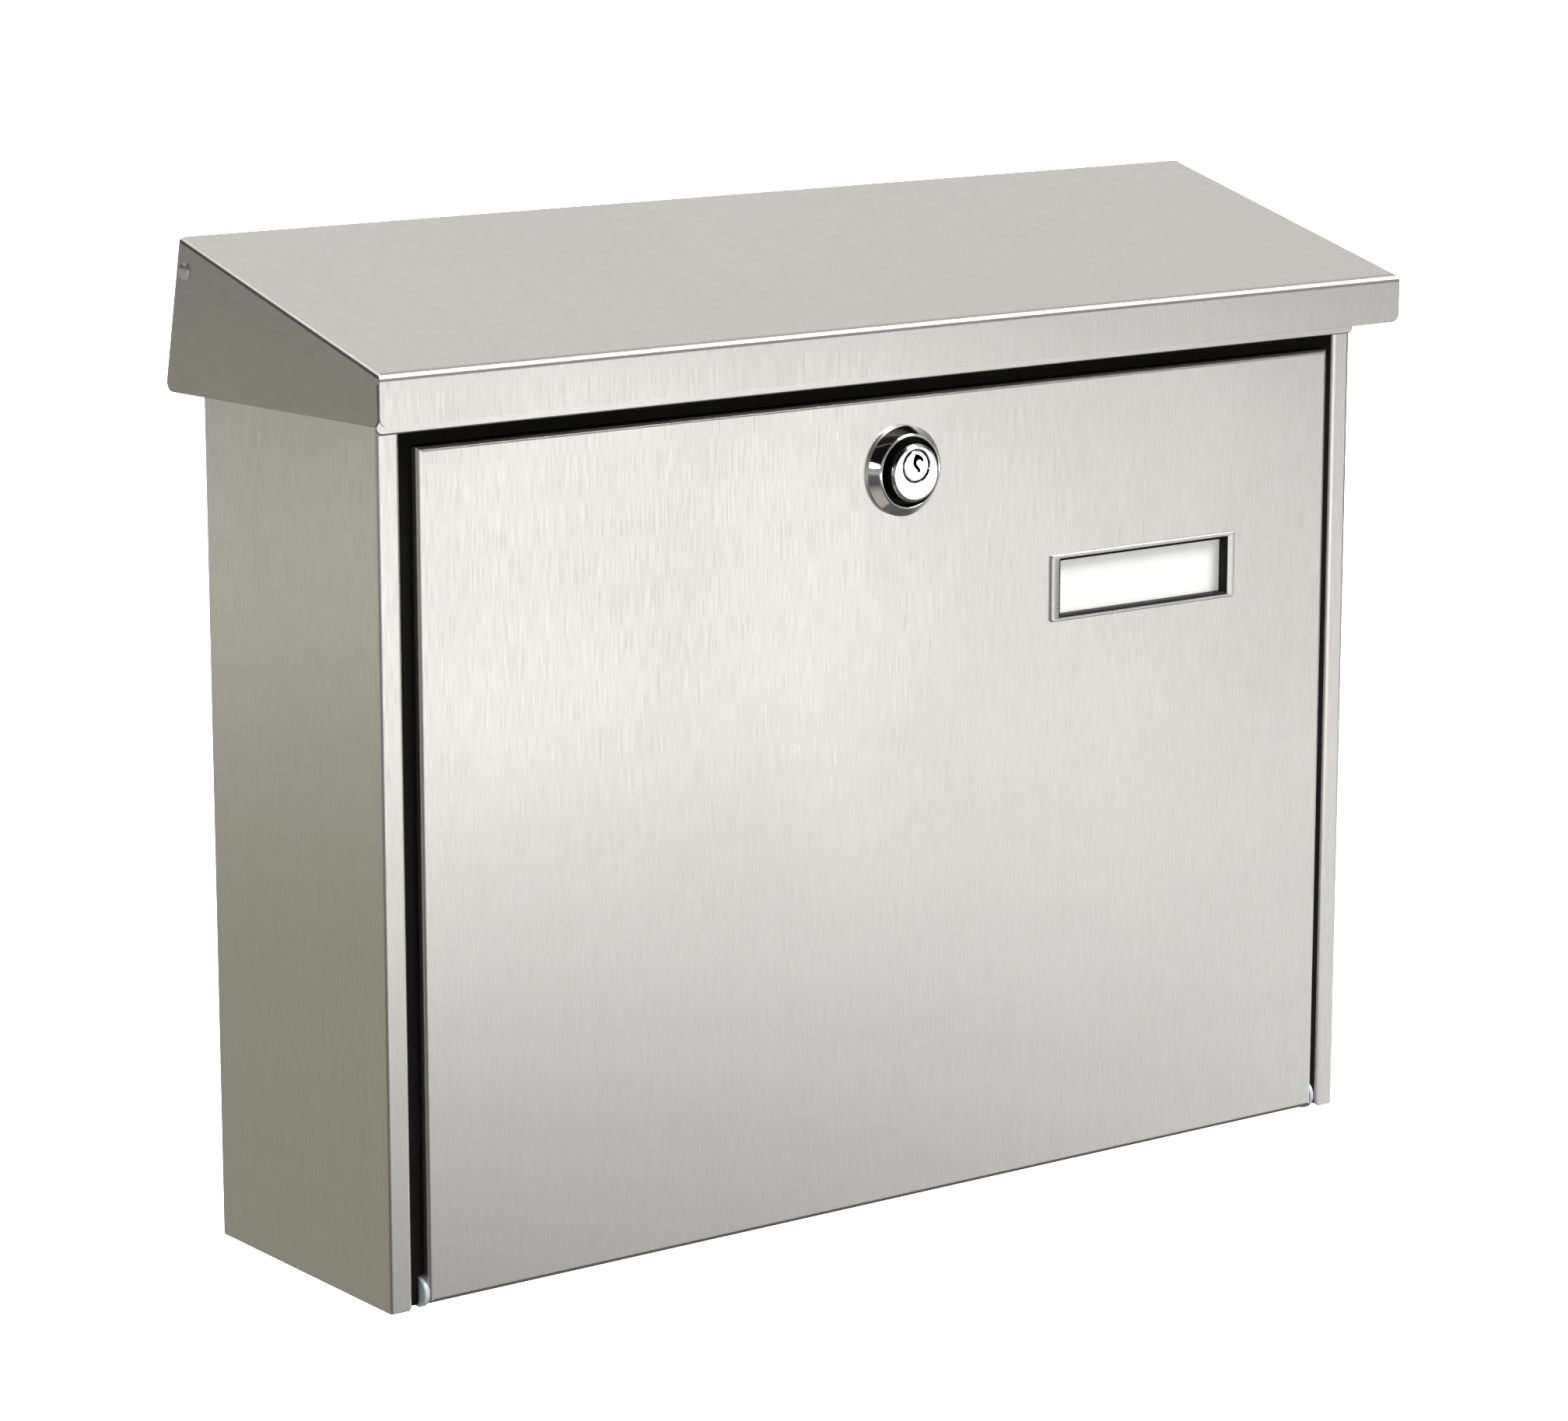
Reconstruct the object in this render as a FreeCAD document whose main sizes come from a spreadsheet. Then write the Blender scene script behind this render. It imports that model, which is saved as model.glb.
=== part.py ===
import FreeCAD, Part
import math
import os

import Sketcher
from FreeCAD import Placement, Rotation, Vector

# Wall mounted mailbox in folded stainless sheet, in millimetres.
#
# The sizes below are measured from the front plane of the housing (y, growing towards the wall),
# from its underside (z) and from its middle (x). Every piece is then carried to the row's own frame,
# whose origin is the centre of the four wall-screw holes on the wall plane.

SIZES = {
    "gauge": 0.8,
    "bend_radius": 1.6,
    "wall_y": 111.6,
    "holes_mid_z": 145,
    "holes_span_x": 300,
    "holes_span_z": 190,
    "spacer_radius": 9,
    "spacer_collar_radius": 5,
    "spacer_bore_radius": 3.25,
    # housing
    "body_width": 386,
    "body_depth": 101.6,
    "flange_width": 8.1,
    "return_depth": 10,
    "front_top_z": 275.2,
    "ear_radius": 7.1,
    # inlet panel and its rail
    "rail_bottom_z": 270,
    "rail_top_z": 277.3,
    "rail_return": 8,
    "rail_width": 387.2,
    "slot_front_y": 15,
    "slot_rear_y": 46,
    "slot_width": 330,
    "ramp_front_y": 52,
    "ramp_rear_y": 100,
    "ramp_rear_z": 296,
    "ramp_flange_z": 303,
    # floor
    "floor_z": 2,
    "floor_front_y": 10.4,
    "floor_flange": 12,
    "stop_z": 11.6,
    "stop_front_y": 5,
    "stop_width": 350,
    # strike
    "strike_width": 44,
    "strike_gauge": 1.2,
    "strike_face_y": 10.6,
    "strike_bottom_z": 262,
    "strike_front_y": 2.5,
    # door
    "door_width": 361.2,
    "door_face_y": -2.5,
    "door_back_y": 9,
    "door_bottom_z": 1.6,
    "door_top_z": 265.8,
    "door_bend": 1.5,
    "door_notch": 9,
    # seal
    "seal_face_y": 0.8,
    "seal_back_y": 7.5,
    "seal_gap": 0.35,
    "seal_bottom_z": 1.2,
    "seal_step_z": 10.6,
    "seal_step": 1.9,
    # door hinge
    "hinge_y": 2.8,
    "hinge_z": 4.8,
    "hinge_pin_radius": 1.5,
    "hinge_hub_radius": 2.8,
    "hinge_disc_radius": 5,
    "running_gap": 0.05,
    # lid
    "lid_width": 402,
    "lip_y": -15,
    "lip_top_z": 290.4,
    "lip_bottom_z": 274.8,
    "roof_slope": 14.53,
    "roof_rear_y": 99.2,
    "skirt_rear_y": 110.1,
    "skirt_rear_z": 271.3,
    "lid_front_bend": 2.8,
    "lid_corner": 3,
    "seam_gap": 0.7,
    "seam_top_z": 287.5,
    # lid pivot
    "pivot_y": 96.7,
    "pivot_z": 309.6,
    "pivot_pin_radius": 2,
    "pivot_hub_radius": 3,
    "pivot_collar_radius": 5.5,
    "pivot_clip_radius": 3.7,
    # name window
    "name_x": 100.3,
    "name_z": 197,
    "name_outer_width": 79,
    "name_outer_height": 22,
    "name_open_width": 71,
    "name_open_height": 18,
    "name_cut_width": 75,
    "name_cut_height": 19.6,
    # lock
    "lock_z": 241.8,
    "lock_hole_radius": 9.1,
    "barrel_radius": 9,
    "plug_rise": 2.3,
    "plug_radius": 5,
    "plug_bore_radius": 5.04,
    "lock_head_radius": 9.3,
    "lock_head_length": 7.2,
    "rosette_radius": 14.5,
    "rosette_floor": 2,
    "barrel_length": 14.2,
    "cam_gauge": 2,
    "cam_length": 30.5,
    "cam_half_width": 7,
    "cam_square": 6,
    "cam_screw_radius": 2,
}


class Dim:
    """A size that knows both its value and the sheet expression that gives it."""

    def __init__(self, text, value):
        self.text = text
        self.value = value

    def joined(self, sign, other, value):
        return Dim(f"({self.text} {sign} {text_of(other)})", value)

    def __add__(self, other):
        return self.joined("+", other, self.value + value_of(other))

    def __sub__(self, other):
        return self.joined("-", other, self.value - value_of(other))

    def __mul__(self, other):
        return self.joined("*", other, self.value * value_of(other))

    def __truediv__(self, other):
        return self.joined("/", other, self.value / value_of(other))

    def __neg__(self):
        return self * -1

    def __rsub__(self, other):
        return -self + other

    def __rtruediv__(self, other):
        return Dim(f"({text_of(other)} / {self.text})", value_of(other) / self.value)

    __radd__ = __add__
    __rmul__ = __mul__

    def turned(self, function):
        """A sine, cosine or tangent of an angle in degrees."""
        ratio = {"sin": math.sin, "cos": math.cos, "tan": math.tan}[function]
        return Dim(f"{function}({self.text} * 1 deg)", ratio(math.radians(self.value)))


def text_of(size):
    return size.text if isinstance(size, Dim) else f"({size})"


def value_of(size):
    return size.value if isinstance(size, Dim) else float(size)


def make_sheet(doc):
    """Fill the spreadsheet and return its sizes by name."""
    sheet = doc.addObject("Spreadsheet::Sheet", "Sizes")
    dims = {}
    for row, (alias, value) in enumerate(SIZES.items(), start=1):
        sheet.set(f"A{row}", alias)
        sheet.set(f"B{row}", str(value))
        sheet.setAlias(f"B{row}", alias)
        dims[alias] = Dim(f"Sizes.{alias}", value)
    doc.recompute()
    return dims


DOC = FreeCAD.newDocument("mailbox")
S = make_sheet(DOC)
GAUGE = S["gauge"]
HALF_BODY = S["body_width"] / 2
HALF_DOOR = S["door_width"] / 2
HALF_LID = S["lid_width"] / 2
RETURN_X = HALF_BODY - S["flange_width"]
PIECES = []
SAME_PLACE = 0.05
OUTWARD = Rotation(Vector(0, 0, 1), -90)  # turns a piece drawn along +X to point out of the door


# --- helpers -------------------------------------------------------------------------------------


def bind(item, prop, size):
    item.setExpression(prop, text_of(size))


def carry(item, x=0, y=0, z=0, rotation=None):
    """Place a piece whose own origin lies at x, y, z of the housing."""
    if rotation is not None:
        item.Placement = Placement(Vector(), rotation)
    bind(item, "Placement.Base.x", x)
    bind(item, "Placement.Base.y", y - S["wall_y"])
    bind(item, "Placement.Base.z", z - S["holes_mid_z"])


def finish_piece(item, label):
    item.Label = label
    PIECES.append(item)
    DOC.recompute()


def new_body(label):
    body = DOC.addObject("PartDesign::Body", "Body_" + label)
    body.Label = label
    return body


def origin_item(body, role):
    return next(item for item in body.Origin.OriginFeatures if item.Role == role)


def new_sketch(body, plane, rise=0):
    """A sketch on one of the body's origin planes, raised along the plane's normal."""
    sketch = body.newObject("Sketcher::SketchObject", body.Name + "_sketch")
    sketch.AttachmentSupport = [(origin_item(body, plane), "")]
    sketch.MapMode = "FlatFace"
    bind(sketch, "AttachmentOffset.Base.z", rise)
    return sketch


def fix_point(sketch, geometry, position, place):
    for kind, size in zip(("DistanceX", "DistanceY"), place):
        rule = Sketcher.Constraint(kind, geometry, position, value_of(size))
        number = sketch.addConstraint(rule)
        bind(sketch, f"Constraints[{number}]", size)


def add_outline(sketch, corners):
    """Add a closed outline of straight sides, with every corner held to its sizes."""
    first = sketch.GeometryCount
    count = len(corners)
    points = [Vector(value_of(x), value_of(y), 0) for x, y in corners]
    for index in range(count):
        sketch.addGeometry(Part.LineSegment(points[index], points[(index + 1) % count]))
    for index in range(count):
        following = first + (index + 1) % count
        sketch.addConstraint(Sketcher.Constraint("Coincident", first + index, 2, following, 1))
    for index, corner in enumerate(corners):
        fix_point(sketch, first + index, 1, corner)


def add_box(sketch, low, high):
    add_outline(sketch, [low, (high[0], low[1]), high, (low[0], high[1])])


def add_circle(sketch, centre, radius):
    middle = Vector(value_of(centre[0]), value_of(centre[1]), 0)
    geometry = sketch.addGeometry(Part.Circle(middle, Vector(0, 0, 1), value_of(radius)))
    fix_point(sketch, geometry, 3, centre)
    rule = Sketcher.Constraint("Radius", geometry, value_of(radius))
    number = sketch.addConstraint(rule)
    bind(sketch, f"Constraints[{number}]", radius)


def extrude(body, kind, sketch, length, both_ways=False, backwards=False):
    feature = body.newObject("PartDesign::" + kind, f"{body.Name}_{kind}")
    feature.Profile = sketch
    bind(feature, "Length", length)
    feature.SideType = "Symmetric" if both_ways else "One side"
    feature.Reversed = backwards
    DOC.recompute()
    return feature


def pad(body, sketch, length, both_ways=False, backwards=False):
    return extrude(body, "Pad", sketch, length, both_ways, backwards)


def pocket(body, sketch, length, both_ways=False, backwards=False):
    """Cut a sketch out of the body, and make sure that it removes something."""
    before = body.Shape.Volume
    feature = extrude(body, "Pocket", sketch, length, both_ways, backwards)
    if not body.Shape.Volume < before:
        raise RuntimeError(f"{body.Label}: a pocket removed nothing")
    return feature


def matches(edge, x, y, z):
    wanted = (x, y, z)
    for vertex in edge.Vertexes:
        for found, size in zip(vertex.Point, wanted):
            if size is not None and abs(found - value_of(size)) > SAME_PLACE:
                return False
    return True


def round_edges(body, radius, places):
    """Round the edges that run through the given places, each (x, y, z) with None for any value."""
    base = body.Tip
    names = []
    for number, edge in enumerate(base.Shape.Edges, start=1):
        if any(matches(edge, *place) for place in places):
            names.append(f"Edge{number}")
    if not names:
        raise RuntimeError(f"{body.Label}: no edge to round")
    feature = body.newObject("PartDesign::Fillet", body.Name + "_bend")
    feature.Base = (base, names)
    bind(feature, "Radius", radius)
    DOC.recompute()


def turned_body(label, profile):
    """A piece turned about its own X axis, from a profile of (along, radius) corners."""
    body = new_body(label)
    sketch = new_sketch(body, "XY_Plane")
    add_outline(sketch, profile)
    turn = body.newObject("PartDesign::Revolution", body.Name + "_turn")
    turn.Profile = sketch
    turn.ReferenceAxis = (origin_item(body, "X_Axis"), [""])
    turn.Angle = 360
    DOC.recompute()
    return body


def cut_away(name, base, tool):
    cut = DOC.addObject("Part::Cut", name)
    cut.Base = base
    cut.Tool = tool
    return cut


def ring_profile(start, end, bore, radius):
    return [(start, bore), (end, bore), (end, radius), (start, radius)]


def side_rotation(side):
    """Pieces are drawn pointing to +X, and the left one is turned to -X."""
    return Rotation(Vector(0, 0, 1), 0 if side > 0 else 180)


def mirrored(corners):
    """The corners of a right half, joined to the same corners on the left."""
    left = [(-x, y) for x, y in reversed(corners)]
    return corners + left


def roof_top(y):
    """Height of the roof's upper face at a depth y."""
    return S["lip_top_z"] + (y - S["lip_y"]) * S["roof_slope"].turned("tan")


def below_roof(y, depth):
    """Height of a line that runs under the roof's upper face at a square distance."""
    return roof_top(y) - depth / S["roof_slope"].turned("cos")


# --- housing -------------------------------------------------------------------------------------


def make_housing_wrap():
    """One sheet bent into the back, the sides, the front flanges and their inward returns."""
    body = new_body("housing_wrap")
    depth = S["body_depth"]
    turn_end = S["return_depth"]
    outer = mirrored([(RETURN_X, turn_end), (RETURN_X, 0), (HALF_BODY, 0), (HALF_BODY, depth)])
    inner_right = [
        (RETURN_X + GAUGE, turn_end),
        (RETURN_X + GAUGE, GAUGE),
        (HALF_BODY - GAUGE, GAUGE),
        (HALF_BODY - GAUGE, depth - GAUGE),
    ]
    plan = new_sketch(body, "XY_Plane")
    add_outline(plan, outer + mirrored(inner_right)[::-1])
    pad(body, plan, S["pivot_z"] + 12)
    outside = [(RETURN_X, 0, None), (HALF_BODY, 0, None), (HALF_BODY, depth, None)]
    inside = [
        (RETURN_X + GAUGE, GAUGE, None),
        (HALF_BODY - GAUGE, GAUGE, None),
        (HALF_BODY - GAUGE, depth - GAUGE, None),
    ]
    for corners, radius in ((outside, S["bend_radius"]), (inside, S["bend_radius"] - GAUGE)):
        both = corners + [(-x, y, z) for x, y, z in corners]
        round_edges(body, radius, both)
    cut_side_tops(body)
    cut_return_tops(body)
    cut_wrap_holes(body)
    carry(body)
    finish_piece(body, "housing_wrap")


def cut_side_tops(body):
    """Slope the sides under the roof, with an ear around the lid's pivot."""
    ear = S["ear_radius"]
    slope = S["roof_slope"]
    tangent_y = S["pivot_y"] - ear * slope.turned("sin")
    tangent_z = S["pivot_z"] + ear * slope.turned("cos")
    front_y = S["bend_radius"] * 2
    rise = (tangent_y - front_y) * slope.turned("tan")
    sketch = new_sketch(body, "YZ_Plane")
    top = S["pivot_z"] + 20
    corners = [
        (-5, S["front_top_z"]),
        (front_y, S["front_top_z"]),
        (front_y, tangent_z - rise),
        (tangent_y, tangent_z),
        (tangent_y + 3.2, tangent_z),
        (S["body_depth"], S["pivot_z"] + 5.1),
        (S["body_depth"] + 5, S["pivot_z"] + 2.7),
        (S["body_depth"] + 5, top),
        (-5, top),
    ]
    add_outline(sketch, corners)
    pocket(body, sketch, S["body_width"] + 20, both_ways=True)


def cut_return_tops(body):
    """Stop the inward returns below the inlet panel."""
    edge = RETURN_X + GAUGE * 2
    sketch = new_sketch(body, "XZ_Plane")
    add_box(sketch, (-edge, S["front_top_z"]), (edge, S["pivot_z"]))
    pocket(body, sketch, (S["return_depth"] + 1) * 2, both_ways=True)


def cut_wrap_holes(body):
    """Drill the door's pin holes, the lid's pivots and the wall holes, and trim the lower corners."""
    pins = new_sketch(body, "YZ_Plane")
    add_circle(pins, (S["hinge_y"], S["hinge_z"]), S["hinge_pin_radius"])
    pocket(body, pins, (RETURN_X + GAUGE * 2) * 2, both_ways=True)
    pivots = new_sketch(body, "YZ_Plane")
    add_circle(pivots, (S["pivot_y"], S["pivot_z"]), S["pivot_hub_radius"])
    pocket(body, pivots, S["body_width"] + 20, both_ways=True)
    wall = new_sketch(body, "XZ_Plane")
    for x, z in wall_hole_places():
        add_circle(wall, (x, z), S["spacer_collar_radius"])
    pocket(body, wall, S["body_depth"] * 3, both_ways=True)
    corners = new_sketch(body, "XZ_Plane")
    corner = GAUGE * 3
    for side in (1, -1):
        edge = RETURN_X * side
        inner = edge - side
        add_outline(corners, [(edge + corner * side, -1), (inner, -1), (inner, corner)])
    pocket(body, corners, S["return_depth"] * 3, both_ways=True)


def wall_hole_places():
    half_x = S["holes_span_x"] / 2
    half_z = S["holes_span_z"] / 2
    return [(half_x * i, S["holes_mid_z"] + half_z * j) for i in (-1, 1) for j in (-1, 1)]


def make_wall_spacers():
    """Four stand-off sleeves, each with a collar that snaps through the back."""
    sleeves = []
    back = S["body_depth"]
    wall = S["wall_y"]
    collar_y = back - GAUGE - 1.2
    for x, z in wall_hole_places():
        disc = cylinder_into_wall(x, z, back, wall, S["spacer_radius"])
        collar = cylinder_into_wall(x, z, collar_y, back, S["spacer_collar_radius"])
        bore = cylinder_into_wall(x, z, collar_y - 1, wall + 1, S["spacer_bore_radius"])
        sleeve = DOC.addObject("Part::Fuse", "Sleeve")
        sleeve.Base = disc
        sleeve.Tool = collar
        sleeves.append(cut_away("BoredSleeve", sleeve, bore))
    group = DOC.addObject("Part::Compound", "Spacers")
    group.Links = sleeves
    carry(group)
    finish_piece(group, "wall_spacers")


def cylinder_into_wall(x, z, start_y, end_y, radius):
    item = DOC.addObject("Part::Cylinder", "Round")
    bind(item, "Radius", radius)
    bind(item, "Height", end_y - start_y)
    item.Placement = Placement(Vector(), Rotation(Vector(1, 0, 0), -90))
    bind(item, "Placement.Base.x", x)
    bind(item, "Placement.Base.y", start_y)
    bind(item, "Placement.Base.z", z)
    return item


def make_floor_panel():
    """The bottom tray, with flanges up the sides and a stop lip across the door's inner edge."""
    body = new_body("floor_panel")
    inside = HALF_BODY - GAUGE
    low = S["floor_z"]
    high = low + GAUGE
    rear = S["body_depth"] - GAUGE
    front = S["floor_front_y"]
    flange_x = inside - GAUGE
    flange_z = low + S["floor_flange"]
    section = new_sketch(body, "XZ_Plane", rise=-rear)
    tray = [(inside, low), (inside, flange_z), (flange_x, flange_z), (flange_x, high)]
    add_outline(section, mirrored(tray))
    pad(body, section, rear - front)
    round_edges(body, 1, [(inside, rear, None), (-inside, rear, None)])
    lip_z = S["stop_z"]
    lip = [
        (front + GAUGE * 2, low),
        (front, low),
        (front, lip_z),
        (S["stop_front_y"], lip_z),
        (S["stop_front_y"], lip_z + GAUGE),
        (front + GAUGE, lip_z + GAUGE),
        (front + GAUGE, high),
        (front + GAUGE * 2, high),
    ]
    side_view = new_sketch(body, "YZ_Plane")
    add_outline(side_view, lip)
    pad(body, side_view, S["stop_width"], both_ways=True)
    round_edges(body, S["bend_radius"], [(None, front + GAUGE, lip_z + GAUGE)])
    round_edges(body, S["bend_radius"] - GAUGE, [(None, front, lip_z)])
    drains = new_sketch(body, "XY_Plane")
    drain_radius = 2.5
    for side in (-1, 0, 1):
        add_circle(drains, (HALF_BODY * 0.8 * side, S["body_depth"] * 0.8), drain_radius)
    pocket(body, drains, S["floor_flange"], both_ways=True)
    carry(body)
    finish_piece(body, "floor_panel")


def make_inlet_panel():
    """The top panel: a thin rail at the front, the letter slot, and a ramp up to the back."""
    body = new_body("inlet_panel")
    face = -GAUGE
    low = S["rail_bottom_z"]
    high = S["rail_top_z"]
    ramp_y = S["ramp_front_y"]
    rear_y = S["ramp_rear_y"]
    rear_z = S["ramp_rear_z"]
    side_view = new_sketch(body, "YZ_Plane")
    outline = [
        (0, high - 4),
        (face, high - 4),
        (face, high),
        (ramp_y, high),
        (rear_y, rear_z),
        (rear_y, S["ramp_flange_z"]),
        (rear_y + GAUGE, S["ramp_flange_z"]),
        (rear_y + GAUGE, rear_z - 0.57),
        (ramp_y + 0.2, high - GAUGE),
        (0, high - GAUGE),
    ]
    add_outline(side_view, outline)
    inside = HALF_BODY - GAUGE
    pad(body, side_view, inside * 2, both_ways=True)
    rear = rear_y + GAUGE
    round_edges(body, 1, [(inside, rear, None), (-inside, rear, None)])
    lip = new_sketch(body, "XZ_Plane")
    half_rail = S["rail_width"] / 2
    add_box(lip, (-half_rail, low), (half_rail, high - 2))
    pad(body, lip, GAUGE)
    hem = new_sketch(body, "XZ_Plane", rise=-S["rail_return"])
    add_box(hem, (-RETURN_X + 0.3, low), (RETURN_X - 0.3, low + GAUGE))
    pad(body, hem, S["rail_return"] + GAUGE / 2)
    slot = new_sketch(body, "XY_Plane", rise=high)
    half_slot = S["slot_width"] / 2
    add_box(slot, (-half_slot, S["slot_front_y"]), (half_slot, S["slot_rear_y"]))
    pocket(body, slot, GAUGE * 6, both_ways=True)
    slot_ends = (S["slot_front_y"], S["slot_rear_y"])
    slot_corners = [(half_slot * side, y, None) for side in (1, -1) for y in slot_ends]
    slot_radius = 3
    rail_corner = 2
    rail_edge = 0.7
    round_edges(body, slot_radius, slot_corners)
    round_edges(body, rail_corner, [(half_rail, None, low), (-half_rail, None, low)])
    round_edges(body, rail_edge, [(None, face, low), (None, face, high)])
    carry(body)
    finish_piece(body, "inlet_panel")


def make_strike_plate():
    """The angle that the cam swings up behind."""
    body = new_body("strike_plate")
    thick = S["strike_gauge"]
    top = S["rail_top_z"] - GAUGE
    face = S["strike_face_y"]
    side_view = new_sketch(body, "YZ_Plane")
    outline = [
        (face, S["strike_bottom_z"]),
        (face + thick, S["strike_bottom_z"]),
        (face + thick, top),
        (S["strike_front_y"], top),
        (S["strike_front_y"], top - thick),
        (face, top - thick),
    ]
    add_outline(side_view, outline)
    pad(body, side_view, S["strike_width"], both_ways=True)
    round_edges(body, 1, [(None, face, top - thick)])
    carry(body)
    finish_piece(body, "strike_plate")


def make_door_seal():
    """The black strip that fills the gap left, above and right of the door."""
    body = new_body("door_seal")
    outer = RETURN_X
    inner = HALF_DOOR + S["seal_gap"]
    low = S["seal_bottom_z"]
    step_z = S["seal_step_z"]
    top = S["rail_bottom_z"]
    under = S["door_top_z"] + S["seal_gap"]
    right = [
        (inner, under),
        (inner, step_z),
        (inner + S["seal_step"], step_z),
        (inner + S["seal_step"], low),
        (outer, low),
        (outer, top),
    ]
    front_view = new_sketch(body, "XZ_Plane", rise=-S["seal_back_y"])
    add_outline(front_view, mirrored(right))
    pad(body, front_view, S["seal_back_y"] - S["seal_face_y"])
    pins = new_sketch(body, "YZ_Plane")
    add_circle(pins, (S["hinge_y"], S["hinge_z"]), S["hinge_pin_radius"] + 0.3)
    pocket(body, pins, S["body_width"], both_ways=True)
    carry(body)
    finish_piece(body, "door_seal")


def make_hinge_pin(side, name):
    """A headed pin from the housing's return into the door's bush."""
    start = HALF_DOOR - 4
    plate = RETURN_X + GAUGE
    radius = S["hinge_pin_radius"]
    profile = [
        (start, 0),
        (plate + 1.2, 0),
        (plate + 1.2, radius + 0.4),
        (plate + 0.5, radius + 0.4),
        (plate, radius),
        (start + 0.5, radius),
        (start, radius - 0.5),
    ]
    body = turned_body("hinge_pin_" + name, profile)
    carry(body, 0, S["hinge_y"], S["hinge_z"], side_rotation(side))
    finish_piece(body, "hinge_pin_" + name)


# --- lid -----------------------------------------------------------------------------------------


def make_lid_hood():
    """One sheet folded into the sloping roof, the front lip and two skirts."""
    outer = hood_block("Outer", 0, S["lip_bottom_z"], S["roof_rear_y"])
    inner = hood_block("Inner", GAUGE, S["lip_bottom_z"] - 20, S["roof_rear_y"] + 30)
    hood = cut_away("HoodShell", outer, inner)
    for side in (1, -1):
        hood = cut_away("HoodSeam", hood, hood_seam(side))
    hood = cut_away("HoodDrilled", hood, pivot_drill())
    DOC.recompute()
    radius = value_of(S["lid_corner"])
    rounded = DOC.addObject("Part::Fillet", "HoodCorners")
    rounded.Base = hood
    rounded.Edges = [(number, radius, radius) for number in low_front_corners(hood.Shape)]
    carry(rounded)
    finish_piece(rounded, "lid_hood")


def pivot_drill():
    drill = DOC.addObject("Part::Cylinder", "PivotDrill")
    bind(drill, "Radius", S["pivot_pin_radius"])
    bind(drill, "Height", S["lid_width"] + 10)
    drill.Placement = Placement(Vector(), Rotation(Vector(0, 1, 0), 90))
    bind(drill, "Placement.Base.x", -HALF_LID - 5)
    bind(drill, "Placement.Base.y", S["pivot_y"])
    bind(drill, "Placement.Base.z", S["pivot_z"])
    return drill


def low_front_corners(shape):
    """The short edges across the sheet where the lip and the skirts end, low at the front."""
    lip_back = value_of(S["lip_y"] + GAUGE)
    skirt_front = value_of(S["lip_y"] + GAUGE + S["seam_gap"])
    found = []
    for number, edge in enumerate(shape.Edges, start=1):
        middle = edge.CenterOfMass
        low = abs(middle.z - value_of(S["lip_bottom_z"])) < 0.1
        at_side = abs(abs(middle.x) - value_of(HALF_LID)) < value_of(GAUGE)
        on_lip = lip_back - edge.Length < middle.y < lip_back
        on_skirt = abs(middle.y - skirt_front) < 0.01
        if low and at_side and edge.Length < 1 and (on_lip or on_skirt):
            found.append(number)
    return found


def hood_block(name, inset, low, rear):
    """The lid's outer or inner shape: its side view, met by a channel that runs down the slope."""
    front = S["lip_y"] + inset
    rear_corner = (rear, low)
    if name == "Outer":
        rear_corner = (S["skirt_rear_y"], S["skirt_rear_z"])
    block = new_body(name + "Block")
    side_view = new_sketch(block, "YZ_Plane")
    roof = [(front, below_roof(front, inset)), (rear, below_roof(rear, inset))]
    add_outline(side_view, [(front, low)] + roof + [rear_corner])
    pad(block, side_view, S["lid_width"] - inset * 2, both_ways=True)
    round_edges(block, S["lid_front_bend"] - inset, [(None, front, roof[0][1])])
    if name == "Outer":
        round_edges(block, S["lid_corner"], [(None, *rear_corner)])
    common = DOC.addObject("Part::Common", name + "Hood")
    common.Base = block
    common.Tool = hood_channel(name, inset, front - 30, rear + 60)
    return common


def hood_channel(name, inset, start, end):
    """A long block under the roof's slope, with its two upper folds rounded."""
    channel = new_body(name + "Channel")
    long_view = new_sketch(channel, "YZ_Plane")
    base_z = S["skirt_rear_z"] - 60
    ridge = [(start, below_roof(start, inset)), (end, below_roof(end, inset))]
    add_outline(long_view, [(start, base_z)] + ridge + [(end, base_z)])
    pad(channel, long_view, S["lid_width"] - inset * 2, both_ways=True)
    solid = channel.Tip
    folds = []
    for number, edge in enumerate(solid.Shape.Edges, start=1):
        heights = sorted(vertex.Point.z for vertex in edge.Vertexes)
        if heights[0] > value_of(ridge[0][1]) - 0.1 and heights[1] - heights[0] > 1:
            folds.append(f"Edge{number}")
    feature = channel.newObject("PartDesign::Fillet", name + "Fold")
    feature.Base = (solid, folds)
    bind(feature, "Radius", S["bend_radius"] - inset)
    return channel


def hood_seam(side):
    """The slit that parts the lip from one skirt, up to the fold of the roof."""
    start_z = S["lip_bottom_z"] - 5
    across = GAUGE * 5
    seam = DOC.addObject("Part::Box", "Seam")
    bind(seam, "Length", across)
    bind(seam, "Width", S["seam_gap"])
    bind(seam, "Height", S["seam_top_z"] - start_z)
    bind(seam, "Placement.Base.x", HALF_LID * side - across / 2)
    bind(seam, "Placement.Base.y", S["lip_y"] + GAUGE)
    bind(seam, "Placement.Base.z", start_z)
    return seam


def make_lid_pin(side, name):
    """A round-headed pin through the skirt, into the housing's bush."""
    radius = S["pivot_pin_radius"]
    end = HALF_BODY - 4.2
    head = HALF_LID
    profile = [
        (end, 0),
        (head + 1.1, 0),
        (head + 1.1, 1.2),
        (head + 0.7, 2.3),
        (head, 2.7),
        (head, radius),
        (end + 0.5, radius),
        (end, radius - 0.5),
    ]
    body = turned_body("lid_pin_" + name, profile)
    carry(body, 0, S["pivot_y"], S["pivot_z"], side_rotation(side))
    finish_piece(body, "lid_pin_" + name)


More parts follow.
